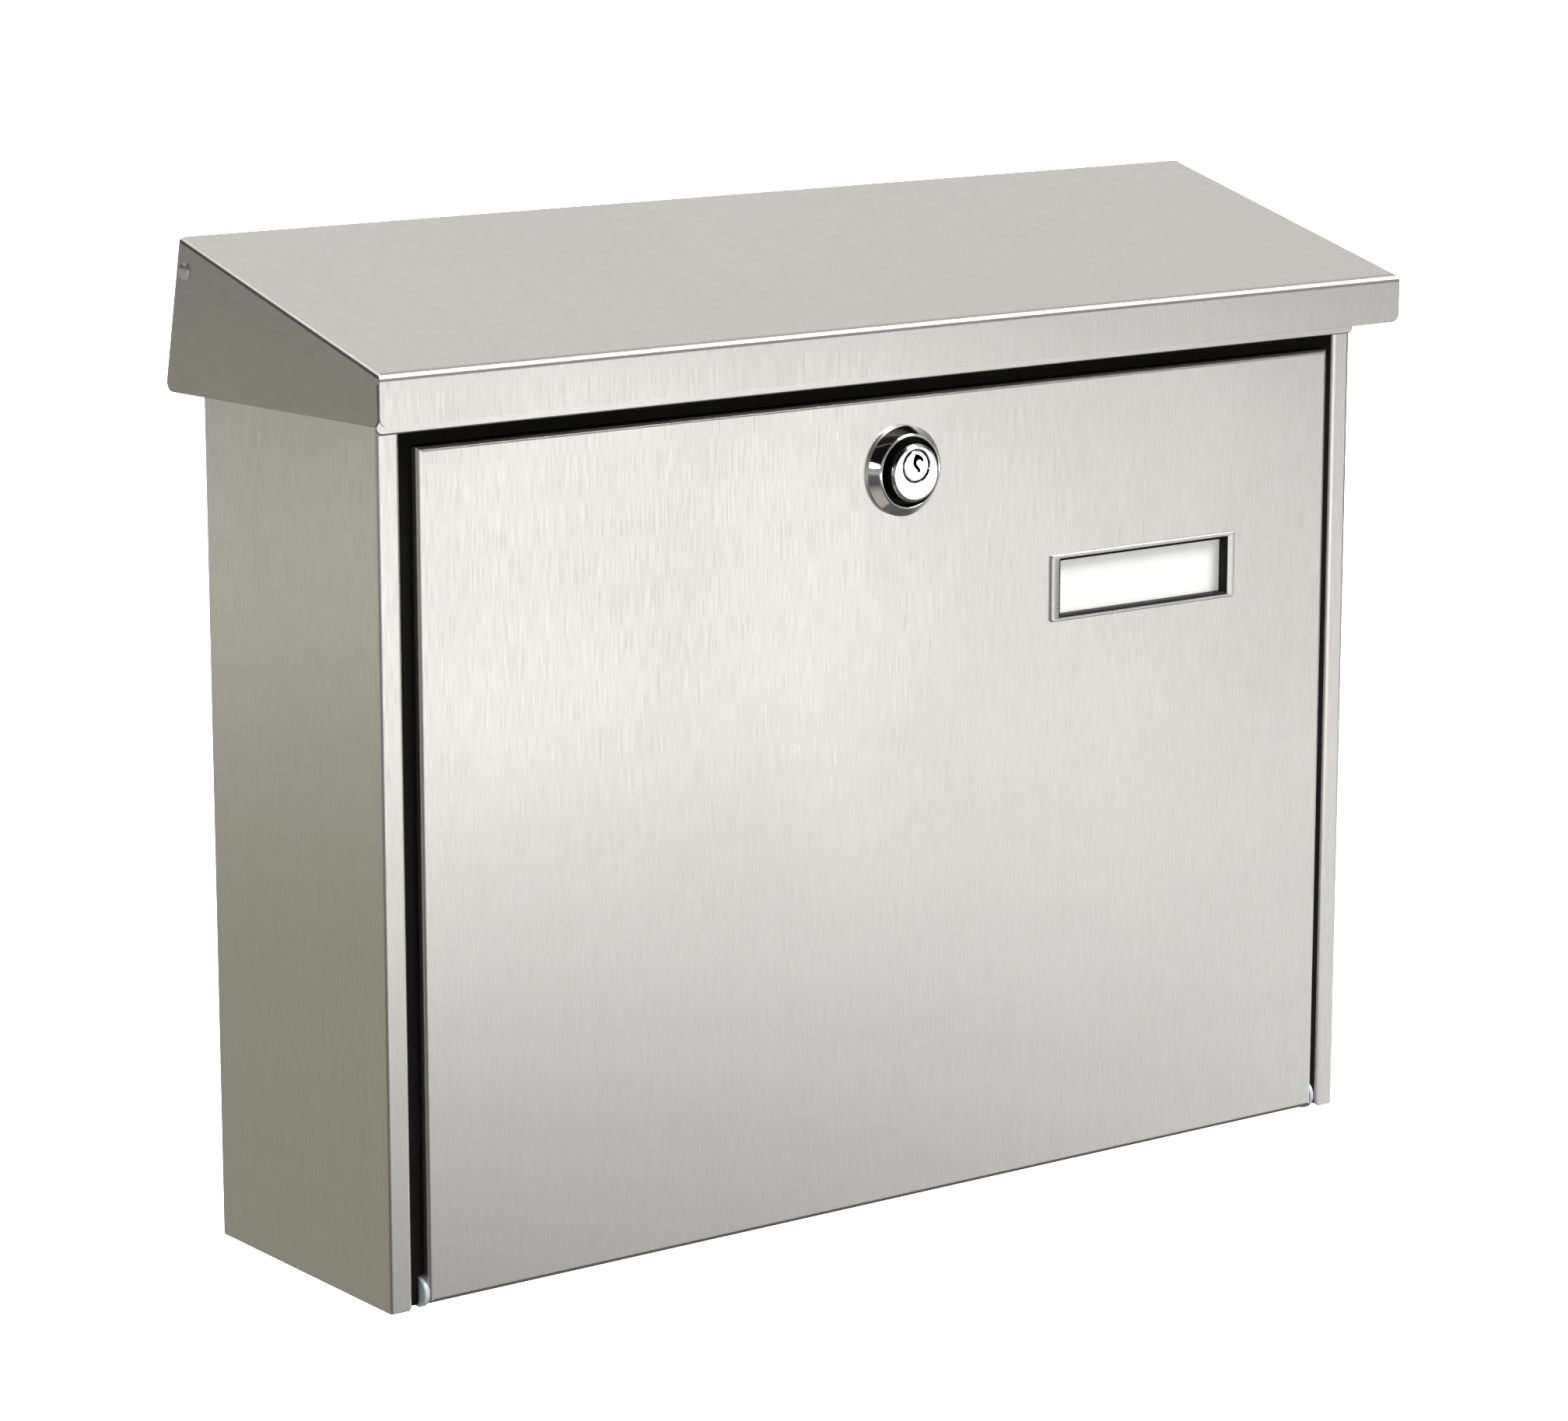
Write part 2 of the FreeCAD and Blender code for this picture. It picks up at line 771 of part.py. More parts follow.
def make_lid_bush(side, name):
    """A nylon bush in the housing's side, long enough to centre the lid."""
    bore = S["pivot_pin_radius"] + S["running_gap"]
    wall = HALF_BODY - GAUGE
    skirt = HALF_LID - GAUGE - 0.3
    hub = S["pivot_hub_radius"]
    profile = [
        (wall - 1.1, bore),
        (skirt, bore),
        (skirt, S["pivot_collar_radius"] - 1.5),
        (HALF_BODY + 1.2, S["pivot_collar_radius"] - 1.5),
        (HALF_BODY + 1.2, S["pivot_collar_radius"]),
        (HALF_BODY, S["pivot_collar_radius"]),
        (HALF_BODY, hub),
        (wall, hub),
        (wall, hub + 0.5),
        (wall - 1.1, hub + 0.2),
    ]
    body = turned_body("lid_bush_" + name, profile)
    carry(body, 0, S["pivot_y"], S["pivot_z"], side_rotation(side))
    finish_piece(body, "lid_bush_" + name)


def make_lid_clip(side, name):
    """A push-on clip that keeps the pin in its bush."""
    outer_face = HALF_BODY - GAUGE - 1.4
    profile = ring_profile(outer_face - 0.8, outer_face, S["pivot_pin_radius"], S["pivot_clip_radius"])
    body = turned_body("lid_clip_" + name, profile)
    carry(body, 0, S["pivot_y"], S["pivot_z"], side_rotation(side))
    finish_piece(body, "lid_clip_" + name)


def make_lid_buffer(side, name):
    """A rubber pad under the roof, over the top edge of the housing's side."""
    thick = 1.2
    length = 16
    width = 9
    start_y = 8
    tilt = S["roof_slope"]
    pad_box = DOC.addObject("Part::Box", "Buffer_" + name)
    bind(pad_box, "Length", width)
    bind(pad_box, "Width", length)
    bind(pad_box, "Height", thick)
    rotation = Rotation(Vector(1, 0, 0), value_of(tilt))
    x = HALF_BODY - 6 if side > 0 else -HALF_BODY - (width - 6)
    y = start_y + tilt.turned("sin") * thick
    z = below_roof(start_y, GAUGE) - tilt.turned("cos") * thick
    carry(pad_box, x, y, z, rotation)
    finish_piece(pad_box, "lid_buffer_" + name)


# --- door ----------------------------------------------------------------------------------------


def make_door_panel():
    """The door: a shallow tray with returned edges, and its openings."""
    body = new_body("door_panel")
    face = S["door_face_y"]
    back = S["door_back_y"]
    low = S["door_bottom_z"]
    high = S["door_top_z"]
    block = new_sketch(body, "XZ_Plane", rise=-back)
    add_box(block, (-HALF_DOOR, low), (HALF_DOOR, high))
    pad(body, block, back - face)
    front_edges = [
        (HALF_DOOR, face, None),
        (-HALF_DOOR, face, None),
        (None, face, low),
        (None, face, high),
    ]
    round_edges(body, S["door_bend"], front_edges)
    inside = HALF_DOOR - GAUGE
    hollow = new_sketch(body, "XZ_Plane", rise=-(face + GAUGE))
    add_box(hollow, (-inside, low + GAUGE), (inside, high - GAUGE))
    pocket(body, hollow, back - face)
    inner_edges = [
        (inside, face + GAUGE, None),
        (-inside, face + GAUGE, None),
        (None, face + GAUGE, low + GAUGE),
        (None, face + GAUGE, high - GAUGE),
    ]
    round_edges(body, S["door_bend"] - GAUGE, inner_edges)
    cut_door_openings(body)
    carry(body)
    finish_piece(body, "door_panel")


def cut_door_openings(body):
    """Cut the lock hole, the name window, the hinge holes and the corner reliefs."""
    through = S["door_back_y"] * 4
    openings = new_sketch(body, "XZ_Plane")
    add_circle(openings, (0, S["lock_z"]), S["lock_hole_radius"])
    half_width = S["name_cut_width"] / 2
    half_height = S["name_cut_height"] / 2
    low = (S["name_x"] - half_width, S["name_z"] - half_height)
    high = (S["name_x"] + half_width, S["name_z"] + half_height)
    add_box(openings, low, high)
    pocket(body, openings, through, both_ways=True)
    bushes = new_sketch(body, "YZ_Plane")
    add_circle(bushes, (S["hinge_y"], S["hinge_z"]), S["hinge_hub_radius"])
    pocket(body, bushes, S["door_width"] + 10, both_ways=True)
    notches = new_sketch(body, "XY_Plane")
    relief_y = S["door_face_y"] + S["door_bend"] + 0.2
    for side in (1, -1):
        outer = (HALF_DOOR - GAUGE) * side
        inner = (HALF_DOOR - S["door_notch"]) * side
        add_box(notches, (inner, relief_y), (outer, S["door_back_y"] + 1))
    pocket(body, notches, (S["door_bottom_z"] + GAUGE) * 2 + 0.1, both_ways=True)


def make_hinge_bush(side, name):
    """A nylon bush in the door's side return, with a disc that shows in the gap."""
    bore = S["hinge_pin_radius"] + S["running_gap"]
    sheet = HALF_DOOR - GAUGE
    disc = S["hinge_disc_radius"]
    hub = S["hinge_hub_radius"]
    profile = [
        (sheet - 2.2, bore),
        (HALF_DOOR + 1.6, bore),
        (HALF_DOOR + 1.6, disc - 0.3),
        (HALF_DOOR + 1.3, disc),
        (HALF_DOOR, disc),
        (HALF_DOOR, hub),
        (sheet, hub),
        (sheet, hub + 0.7),
        (sheet - 2.2, hub + 0.2),
    ]
    body = turned_body("hinge_bush_" + name, profile)
    carry(body, 0, S["hinge_y"], S["hinge_z"], side_rotation(side))
    finish_piece(body, "hinge_bush_" + name)


def name_box(sketch, width, height):
    half_width = width / 2
    half_height = height / 2
    add_box(sketch, (-half_width, -half_height), (half_width, half_height))


def make_name_frame():
    """The bezel of the name window: a rim on the door's face and a sleeve through it."""
    body = new_body("name_frame")
    proud = GAUGE * 1.25
    rim = new_sketch(body, "XZ_Plane")
    name_box(rim, S["name_outer_width"], S["name_outer_height"])
    pad(body, rim, proud)
    half_width = S["name_outer_width"] / 2
    half_height = S["name_outer_height"] / 2
    front_edges = [(half_width, -proud, None), (-half_width, -proud, None)]
    front_edges += [(None, -proud, half_height), (None, -proud, -half_height)]
    round_edges(body, 0.5, front_edges)
    sleeve = new_sketch(body, "XZ_Plane", rise=-GAUGE * 3)
    name_box(sleeve, S["name_cut_width"], S["name_cut_height"])
    pad(body, sleeve, GAUGE * 3.5)
    opening = new_sketch(body, "XZ_Plane")
    name_box(opening, S["name_open_width"], S["name_open_height"])
    pocket(body, opening, GAUGE * 12, both_ways=True)
    carry(body, S["name_x"], S["door_face_y"], S["name_z"])
    finish_piece(body, "name_frame")


def make_name_layer(label, start, thickness, width, height):
    """A flat rectangle behind the bezel, its front face at a depth from the door's face."""
    body = new_body(label)
    sketch = new_sketch(body, "XZ_Plane", rise=-(start + thickness))
    name_box(sketch, width, height)
    pad(body, sketch, thickness)
    carry(body, S["name_x"], S["door_face_y"], S["name_z"])
    finish_piece(body, label)


def make_name_window():
    make_name_frame()
    width = S["name_cut_width"]
    height = S["name_cut_height"]
    behind = GAUGE * 3
    pane = GAUGE
    card = GAUGE / 2
    make_name_layer("name_pane", behind, pane, width, height)
    make_name_layer("name_card", behind + pane, card, width - 1, height - 1)
    body = new_body("name_holder")
    depth = behind + pane + card + 1.2
    tray = new_sketch(body, "XZ_Plane", rise=-depth)
    name_box(tray, S["name_outer_width"] + 6, S["name_outer_height"] + 4)
    pad(body, tray, depth - GAUGE)
    recess = new_sketch(body, "XZ_Plane", rise=-GAUGE)
    name_box(recess, width, height)
    pocket(body, recess, behind + pane + card - GAUGE)
    carry(body, S["name_x"], S["door_face_y"], S["name_z"])
    finish_piece(body, "name_holder")


# --- lock ----------------------------------------------------------------------------------------

# Lock pieces are drawn along +X from the door's face outwards, then turned to point out of the door.


def place_on_lock(body, rise=0):
    carry(body, 0, S["door_face_y"], S["lock_z"] + rise, OUTWARD)


def cam_seat():
    """Where the cam's rear face lies, measured outwards from the door's face."""
    return -S["barrel_length"] - 0.3 - S["cam_gauge"]


def make_lock_rosette():
    """The bevelled ring around the barrel's head."""
    outer = S["rosette_radius"]
    well = S["lock_head_radius"] + 1.8
    floor = S["rosette_floor"]
    profile = [
        (0, S["lock_hole_radius"]),
        (0, outer),
        (1.2, outer),
        (4.1, outer - 2.3),
        (4.5, outer - 2.9),
        (4.3, well),
        (floor, well),
        (floor, S["lock_hole_radius"]),
    ]
    body = turned_body("lock_rosette", profile)
    place_on_lock(body)
    finish_piece(body, "lock_rosette")


def make_lock_barrel():
    """The threaded barrel, bored above its own centre for the plug."""
    radius = S["barrel_radius"]
    rear = -S["barrel_length"]
    front = S["lock_head_length"]
    head = S["lock_head_radius"]
    floor = S["rosette_floor"]
    profile = [
        (rear, 0),
        (front, 0),
        (front, head - 1),
        (front - 0.8, head),
        (floor, head),
        (floor, radius),
        (rear, radius),
    ]
    body = turned_body("lock_barrel", profile)
    bore = new_sketch(body, "YZ_Plane")
    add_circle(bore, (0, S["plug_rise"]), S["plug_bore_radius"])
    pocket(body, bore, (front - rear) * 3, both_ways=True)
    place_on_lock(body)
    finish_piece(body, "lock_barrel")


def make_lock_nut():
    """The hexagon nut that clamps the barrel to the door from behind."""
    thickness = 3.5
    hexagon = DOC.addObject("Part::Prism", "NutHexagon")
    hexagon.Polygon = 6
    bind(hexagon, "Circumradius", S["barrel_radius"] + 5)
    bind(hexagon, "Height", thickness)
    bore = DOC.addObject("Part::Cylinder", "NutBore")
    bind(bore, "Radius", S["barrel_radius"])
    bind(bore, "Height", thickness)
    nut = cut_away("Nut", hexagon, bore)
    rear = S["door_face_y"] + GAUGE + thickness
    carry(nut, 0, rear, S["lock_z"], Rotation(Vector(1, 0, 0), 90))
    finish_piece(nut, "lock_nut")


def make_lock_plug():
    """The plug: a warded keyway in front and a square end for the cam."""
    shoulder = cam_seat() + S["cam_gauge"]
    front = S["lock_head_length"]
    radius = S["plug_radius"]
    profile = [
        (shoulder, 0),
        (front, 0),
        (front, radius - 0.3),
        (front - 0.3, radius),
        (shoulder, radius),
    ]
    body = turned_body("lock_plug", profile)
    half_square = S["cam_square"] / 2
    square = new_sketch(body, "YZ_Plane", rise=cam_seat())
    add_box(square, (-half_square, -half_square), (half_square, half_square))
    pad(body, square, S["cam_gauge"])
    tap = new_sketch(body, "YZ_Plane", rise=cam_seat())
    add_circle(tap, (0, 0), S["cam_screw_radius"])
    pocket(body, tap, 8, backwards=True)
    cut_keyway(body)
    place_on_lock(body, S["plug_rise"])
    finish_piece(body, "lock_plug")


def cut_keyway(body):
    """A slot that hooks to the right at its top and leans to the right at its foot."""
    outline = [
        (-0.3, 4),
        (0.8, 3.6),
        (2.5, 2.6),
        (2.9, 1.4),
        (2.2, 1.1),
        (1.5, 1.9),
        (0.7, 1.9),
        (0.1, 1.3),
        (0.1, 0.6),
        (0.9, -0.3),
        (1.6, -1.2),
        (1.5, -2.1),
        (0.7, -2.2),
        (0.3, -1.3),
        (-0.7, -0.4),
        (-1.3, 0.6),
        (-1.2, 1.9),
        (-0.8, 3),
    ]
    keyway = new_sketch(body, "YZ_Plane", rise=S["lock_head_length"])
    add_outline(keyway, outline)
    pocket(body, keyway, 12)


def make_lock_cam():
    """The cam: a flat tongue on the plug's square, lying to the left when unlocked."""
    body = new_body("lock_cam")
    blank = new_sketch(body, "YZ_Plane", rise=cam_seat())
    half_width = S["cam_half_width"]
    tip = -S["cam_length"]
    add_box(blank, (tip, -half_width), (half_width, half_width))
    pad(body, blank, S["cam_gauge"])
    heel_radius = 5
    tip_radius = 3
    round_edges(body, heel_radius, [(None, half_width, half_width), (None, half_width, -half_width)])
    round_edges(body, tip_radius, [(None, tip, half_width), (None, tip, -half_width)])
    square = new_sketch(body, "YZ_Plane")
    half_square = S["cam_square"] / 2
    add_box(square, (-half_square, -half_square), (half_square, half_square))
    pocket(body, square, S["barrel_length"] * 4, both_ways=True)
    place_on_lock(body, S["plug_rise"])
    finish_piece(body, "lock_cam")


def make_cam_screw():
    """The screw that holds the cam on the plug."""
    seat = cam_seat()
    radius = S["cam_screw_radius"]
    head = 4.6
    profile = [
        (seat - 2.4, 0),
        (seat + 8, 0),
        (seat + 8, radius),
        (seat, radius),
        (seat, head),
        (seat - 1.4, head),
        (seat - 2.4, head - 1.4),
    ]
    body = turned_body("cam_screw", profile)
    place_on_lock(body, S["plug_rise"])
    finish_piece(body, "cam_screw")


# --- the whole mailbox ---------------------------------------------------------------------------


def build():
    make_housing_wrap()
    make_floor_panel()
    make_inlet_panel()
    make_strike_plate()
    make_door_seal()
    make_wall_spacers()
    make_lid_hood()
    make_door_panel()
    for side, name in ((1, "right"), (-1, "left")):
        make_hinge_pin(side, name)
        make_hinge_bush(side, name)
        make_lid_pin(side, name)
        make_lid_bush(side, name)
        make_lid_clip(side, name)
        make_lid_buffer(side, name)
    make_name_window()
    make_lock_rosette()
    make_lock_barrel()
    make_lock_nut()
    make_lock_plug()
    make_lock_cam()
    make_cam_screw()


def check_and_export():
    DOC.recompute()
    for item in DOC.Objects:
        if "Invalid" in item.State or "Error" in item.State:
            raise RuntimeError(f"{item.Label} did not compute: {item.State}")
    os.makedirs("parts", exist_ok=True)
    for piece in PIECES:
        shape = piece.Shape
        if shape.isNull() or not shape.isValid():
            raise RuntimeError(f"{piece.Label} has no valid shape")
        shape.exportStep(f"parts/{piece.Label}.step")
        box = shape.BoundBox
        size = f"{box.XLength:.1f} x {box.YLength:.1f} x {box.ZLength:.1f}"
        print(f"{piece.Label}: {len(shape.Solids)} solid, {size} mm, {shape.Volume:.0f} mm3")


build()
check_and_export()
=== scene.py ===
import math

import bmesh
import bpy
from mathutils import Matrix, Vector
from mathutils.geometry import delaunay_2d_cdt


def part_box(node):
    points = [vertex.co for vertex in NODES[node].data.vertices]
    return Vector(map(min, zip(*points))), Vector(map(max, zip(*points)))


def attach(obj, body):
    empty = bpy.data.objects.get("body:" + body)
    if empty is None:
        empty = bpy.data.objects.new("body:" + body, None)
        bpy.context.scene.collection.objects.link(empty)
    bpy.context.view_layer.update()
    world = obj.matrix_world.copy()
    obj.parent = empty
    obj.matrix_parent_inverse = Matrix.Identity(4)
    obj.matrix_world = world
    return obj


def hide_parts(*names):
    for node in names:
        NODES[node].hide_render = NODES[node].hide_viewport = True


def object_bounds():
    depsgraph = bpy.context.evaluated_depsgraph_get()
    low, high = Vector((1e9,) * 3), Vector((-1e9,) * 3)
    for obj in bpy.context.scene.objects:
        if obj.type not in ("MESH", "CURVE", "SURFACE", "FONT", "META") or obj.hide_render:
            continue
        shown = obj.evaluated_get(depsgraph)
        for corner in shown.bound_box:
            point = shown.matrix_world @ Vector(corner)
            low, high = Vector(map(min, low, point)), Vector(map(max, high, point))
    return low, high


# A wall mounted mailbox in brushed stainless steel, on a pale studio floor. Lengths are in metres.

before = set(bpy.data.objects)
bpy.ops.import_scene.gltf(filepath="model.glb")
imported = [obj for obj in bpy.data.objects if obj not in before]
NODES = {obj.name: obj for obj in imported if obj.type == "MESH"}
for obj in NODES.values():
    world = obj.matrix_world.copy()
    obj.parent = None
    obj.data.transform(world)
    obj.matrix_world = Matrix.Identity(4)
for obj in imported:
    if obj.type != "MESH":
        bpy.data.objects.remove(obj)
CAD_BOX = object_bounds()

MM = 0.001
ROOF_SLOPE = math.radians(14.53)


# --- node trees ----------------------------------------------------------------------------------


def grey(value):
    return (value, value, value)


def scaled(colour, factor):
    return tuple(part * factor for part in colour)


def with_alpha(colour):
    """A plain colour as an opaque one. A node's output is left alone."""
    return (*colour, 1) if isinstance(colour, tuple) else colour


class Tree:
    """Short calls for adding nodes to a material or a world."""

    def __init__(self, tree):
        self.tree = tree

    def link(self, source, target):
        if hasattr(source, "is_output"):
            self.tree.links.new(source, target)
        else:
            target.default_value = source

    def add(self, kind, **settings):
        node = self.tree.nodes.new(kind)
        for name, value in settings.items():
            setattr(node, name, value)
        return node

    def coordinates(self, output="Object"):
        return self.add("ShaderNodeTexCoord").outputs[output]

    def math(self, operation, first, second=0.0):
        node = self.add("ShaderNodeMath", operation=operation)
        self.link(first, node.inputs[0])
        self.link(second, node.inputs[1])
        return node.outputs[0]

    def dot(self, vector, direction):
        node = self.add("ShaderNodeVectorMath", operation="DOT_PRODUCT")
        self.link(vector, node.inputs[0])
        self.link(direction, node.inputs[1])
        return node.outputs["Value"]

    def combine(self, x, y, z=0.0):
        node = self.add("ShaderNodeCombineXYZ")
        for source, target in zip((x, y, z), node.inputs):
            self.link(source, target)
        return node.outputs[0]

    def separate(self, vector):
        node = self.add("ShaderNodeSeparateXYZ")
        self.link(vector, node.inputs[0])
        return node.outputs

    def mix(self, factor, low, high):
        node = self.add("ShaderNodeMix", data_type="FLOAT")
        self.link(factor, node.inputs["Factor"])
        self.link(low, node.inputs[2])
        self.link(high, node.inputs[3])
        return node.outputs[0]

    def mix_vector(self, factor, low, high):
        node = self.add("ShaderNodeMix", data_type="VECTOR")
        self.link(factor, node.inputs["Factor"])
        self.link(low, node.inputs[4])
        self.link(high, node.inputs[5])
        return node.outputs[1]

    def mix_colour(self, factor, low, high):
        """A blend of two colours; plain ones are (red, green, blue)."""
        low, high = (with_alpha(colour) for colour in (low, high))
        node = self.add("ShaderNodeMix", data_type="RGBA")
        self.link(factor, node.inputs["Factor"])
        self.link(low, node.inputs[6])
        self.link(high, node.inputs[7])
        return node.outputs[2]

    def spread(self, value, start, end, low, high, smooth=False):
        """Map a value from start..end to low..high."""
        node = self.add("ShaderNodeMapRange")
        node.interpolation_type = "SMOOTHSTEP" if smooth else "LINEAR"
        self.link(value, node.inputs["Value"])
        self.link(start, node.inputs["From Min"])
        self.link(end, node.inputs["From Max"])
        self.link(low, node.inputs["To Min"])
        self.link(high, node.inputs["To Max"])
        return node.outputs[0]

    def turned(self, vector, source, target):
        """A direction carried between OBJECT and WORLD axes."""
        node = self.add("ShaderNodeVectorTransform", vector_type="VECTOR")
        node.convert_from = source
        node.convert_to = target
        self.link(vector, node.inputs[0])
        return node.outputs[0]

    def seen(self):
        """1 where the camera looks at the surface itself, 0 in reflections."""
        return self.add("ShaderNodeLightPath").outputs["Is Camera Ray"]

    def noise(self, vector, scale, detail=2.0, roughness=0.5):
        node = self.add("ShaderNodeTexNoise")
        self.link(vector, node.inputs["Vector"])
        node.inputs["Scale"].default_value = scale
        node.inputs["Detail"].default_value = detail
        node.inputs["Roughness"].default_value = roughness
        return node.outputs["Fac"]

    def ramp(self, value, stops):
        """A colour for each value, from stops of (value, colour)."""
        node = self.add("ShaderNodeValToRGB")
        self.link(value, node.inputs[0])
        points = node.color_ramp.elements
        points[0].position, points[0].color = stops[0][0], (*stops[0][1], 1)
        points[1].position, points[1].color = stops[-1][0], (*stops[-1][1], 1)
        for position, colour in stops[1:-1]:
            points.new(position).color = (*colour, 1)
        return node.outputs[0]

    def bump(self, height, depth, strength=1.0):
        node = self.add("ShaderNodeBump")
        self.link(height, node.inputs["Height"])
        node.inputs["Distance"].default_value = depth
        node.inputs["Strength"].default_value = strength
        return node.outputs[0]


def new_material(name):
    """A material, its node helper and its Principled shader."""
    material = bpy.data.materials.new(name)
    material.use_nodes = True
    nodes = material.node_tree.nodes
    return material, Tree(material.node_tree), nodes["Principled BSDF"]


# --- materials -----------------------------------------------------------------------------------


def edge_mask(tree, radius):
    """1 along folds and rims and 0 on flat stretches, and how far the fold faces upwards."""
    bevel = tree.add("ShaderNodeBevel", samples=4)
    bevel.inputs["Radius"].default_value = radius
    normal = tree.add("ShaderNodeNewGeometry").outputs["Normal"]
    straight = tree.dot(bevel.outputs[0], normal)
    upward = tree.separate(tree.turned(bevel.outputs[0], "WORLD", "OBJECT"))[2]
    return tree.spread(straight, 1.0, 0.93, 0.0, 1.0), tree.spread(upward, 0.05, 0.45, 0.0, 1.0)


def grain_frame(tree, side_across, side_along):
    """Distances across and along the grain, and the direction that it blurs, for a folded sheet.

    The grain runs up the front, back and roof. On the two sides it follows side_along.
    """
    place = tree.coordinates("Object")
    sideways = tree.math("ABSOLUTE", tree.separate(tree.coordinates("Normal"))[0])
    on_side = tree.math("GREATER_THAN", sideways, 0.7)
    across = tree.mix(on_side, tree.dot(place, (1, 0, 0)), tree.dot(place, side_across))
    along = tree.mix(on_side, tree.dot(place, (0, 1, 1)), tree.dot(place, side_along))
    direction = tree.mix_vector(on_side, (1, 0, 0), side_across)
    return across, along, tree.turned(direction, "OBJECT", "WORLD")


STEEL_TONES = [
    (0.30, (0.635, 0.63, 0.60)),
    (0.50, (0.68, 0.675, 0.645)),
    (0.72, (0.725, 0.72, 0.695)),
]
STEEL_WARM = (0.78, 0.77, 0.74)


def brushed_sheet(name, spread, shade, side_across=(0, 1, 0), side_along=(0, 0, 1)):
    """Stainless sheet with a fine straight grain, a little uneven, with a painted highlight along its upward
    folds and painted shade along folds that face down or sideways.

    The spread is how far the grain blurs reflections, and the shade darkens or brightens the metal, as a
    painted shade where one copy of the steel is made darker than another.
    """
    material, tree, shader = new_material(name)
    across, along, direction = grain_frame(tree, side_across, side_along)

    def streaks(width, length, detail):
        crossing = tree.math("MULTIPLY", across, 1 / width)
        running = tree.math("MULTIPLY", along, 1 / length)
        return tree.noise(tree.combine(crossing, running), 1.0, detail)

    hair = streaks(0.25 * MM, 7 * MM, 1.0)
    fine = streaks(0.55 * MM, 14 * MM, 2.0)
    broad = streaks(6 * MM, 160 * MM, 2.0)
    cloud = tree.noise(tree.coordinates("Object"), 9.0, 2.0)
    scratch = tree.math("ADD", tree.math("MULTIPLY", hair, 0.5), tree.math("MULTIPLY", fine, 0.5))
    edge, upward = edge_mask(tree, 0.8 * MM)
    tone = tree.ramp(scratch, [(place, scaled(colour, shade)) for place, colour in STEEL_TONES])
    tone = tree.mix_colour(tree.spread(broad, 0.3, 0.7, 0.0, 0.12), tone, scaled(STEEL_WARM, shade))
    # Painted highlight on folds that face up, painted shade on folds that face down or sideways.
    painted_fold_shading = tree.mix_colour(upward, (0.36, 0.35, 0.33), (0.88, 0.88, 0.86))
    tone = tree.mix_colour(tree.math("MULTIPLY", edge, tree.mix(upward, 0.45, 0.5)), tone, painted_fold_shading)
    tree.link(tone, shader.inputs["Base Color"])
    rough = tree.spread(scratch, 0.3, 0.7, 0.35, 0.28)
    rough = tree.math("ADD", rough, tree.spread(cloud, 0.3, 0.7, -0.02, 0.02))
    rough = tree.math("SUBTRACT", rough, tree.math("MULTIPLY", edge, 0.07))
    tree.link(rough, shader.inputs["Roughness"])
    tree.link(tree.bump(scratch, 0.012 * MM), shader.inputs["Normal"])
    tree.link(direction, shader.inputs["Tangent"])
    shader.inputs["Metallic"].default_value = 1.0
    shader.inputs["Anisotropic"].default_value = spread
    return material


def plated_steel(name, colour, roughness):
    """Plain plated steel with faint mottling and brighter rims."""
    material, tree, shader = new_material(name)
    place = tree.coordinates("Object")
    mottle = tree.noise(place, 700.0, 3.0)
    edge, _ = edge_mask(tree, 0.5 * MM)
    tone = tree.mix_colour(mottle, scaled(colour, 0.85), colour)
    tone = tree.mix_colour(tree.math("MULTIPLY", edge, 0.5), tone, (0.9, 0.9, 0.88))
    tree.link(tone, shader.inputs["Base Color"])
    rough = tree.spread(mottle, 0.3, 0.7, roughness - 0.05, roughness + 0.08)
    tree.link(rough, shader.inputs["Roughness"])
    tree.link(tree.bump(mottle, 0.01 * MM), shader.inputs["Normal"])
    shader.inputs["Metallic"].default_value = 1.0
    return material


def chrome(name):
    """Polished chrome with the lightest haze and wiping marks."""
    material, tree, shader = new_material(name)
    place = tree.coordinates("Object")
    haze = tree.noise(place, 260.0, 3.0)
    wiped = tree.combine(tree.dot(place, (900, 0, 300)), tree.dot(place, (0, 200, 60)))
    wipe = tree.noise(wiped, 1.0, 2.0)
    tone = tree.mix_colour(haze, (0.80, 0.80, 0.81), (0.88, 0.88, 0.89))
    tree.link(tone, shader.inputs["Base Color"])
    hazy = tree.spread(haze, 0.35, 0.7, 0.04, 0.09)
    smeared = tree.spread(wipe, 0.55, 0.8, 0.0, 0.05)
    tree.link(tree.math("ADD", hazy, smeared), shader.inputs["Roughness"])
    tree.link(tree.bump(haze, 0.006 * MM), shader.inputs["Normal"])
    shader.inputs["Metallic"].default_value = 1.0
    return material


def seal_rubber(name):
    """Black cellular rubber: matt, with fine closed pores."""
    material, tree, shader = new_material(name)
    place = tree.coordinates("Object")
    pores = tree.add("ShaderNodeTexVoronoi", feature="F1")
    tree.link(place, pores.inputs["Vector"])
    pores.inputs["Scale"].default_value = 1500.0
    dust = tree.noise(place, 60.0, 4.0)
    tone = tree.mix_colour(dust, (0.003, 0.003, 0.0025), (0.007, 0.007, 0.006))
    tree.link(tone, shader.inputs["Base Color"])
    tree.link(tree.spread(dust, 0.3, 0.7, 0.62, 0.8), shader.inputs["Roughness"])
    tree.link(tree.bump(pores.outputs["Distance"], 0.12 * MM, 0.6), shader.inputs["Normal"])
    shader.inputs["Specular IOR Level"].default_value = 0.12
    return material


def plastic(name, low, high, roughness, grain, depth):
    """Moulded plastic with a fine moulded texture."""
    material, tree, shader = new_material(name)
    place = tree.coordinates("Object")
    texture = tree.noise(place, grain, 3.0)
    patch = tree.noise(place, grain / 20, 2.0)
    tone = tree.mix_colour(patch, low, high)
    tree.link(tone, shader.inputs["Base Color"])
    rough = tree.spread(texture, 0.3, 0.7, roughness - 0.06, roughness + 0.06)
    tree.link(rough, shader.inputs["Roughness"])
    tree.link(tree.bump(texture, depth), shader.inputs["Normal"])
    return material


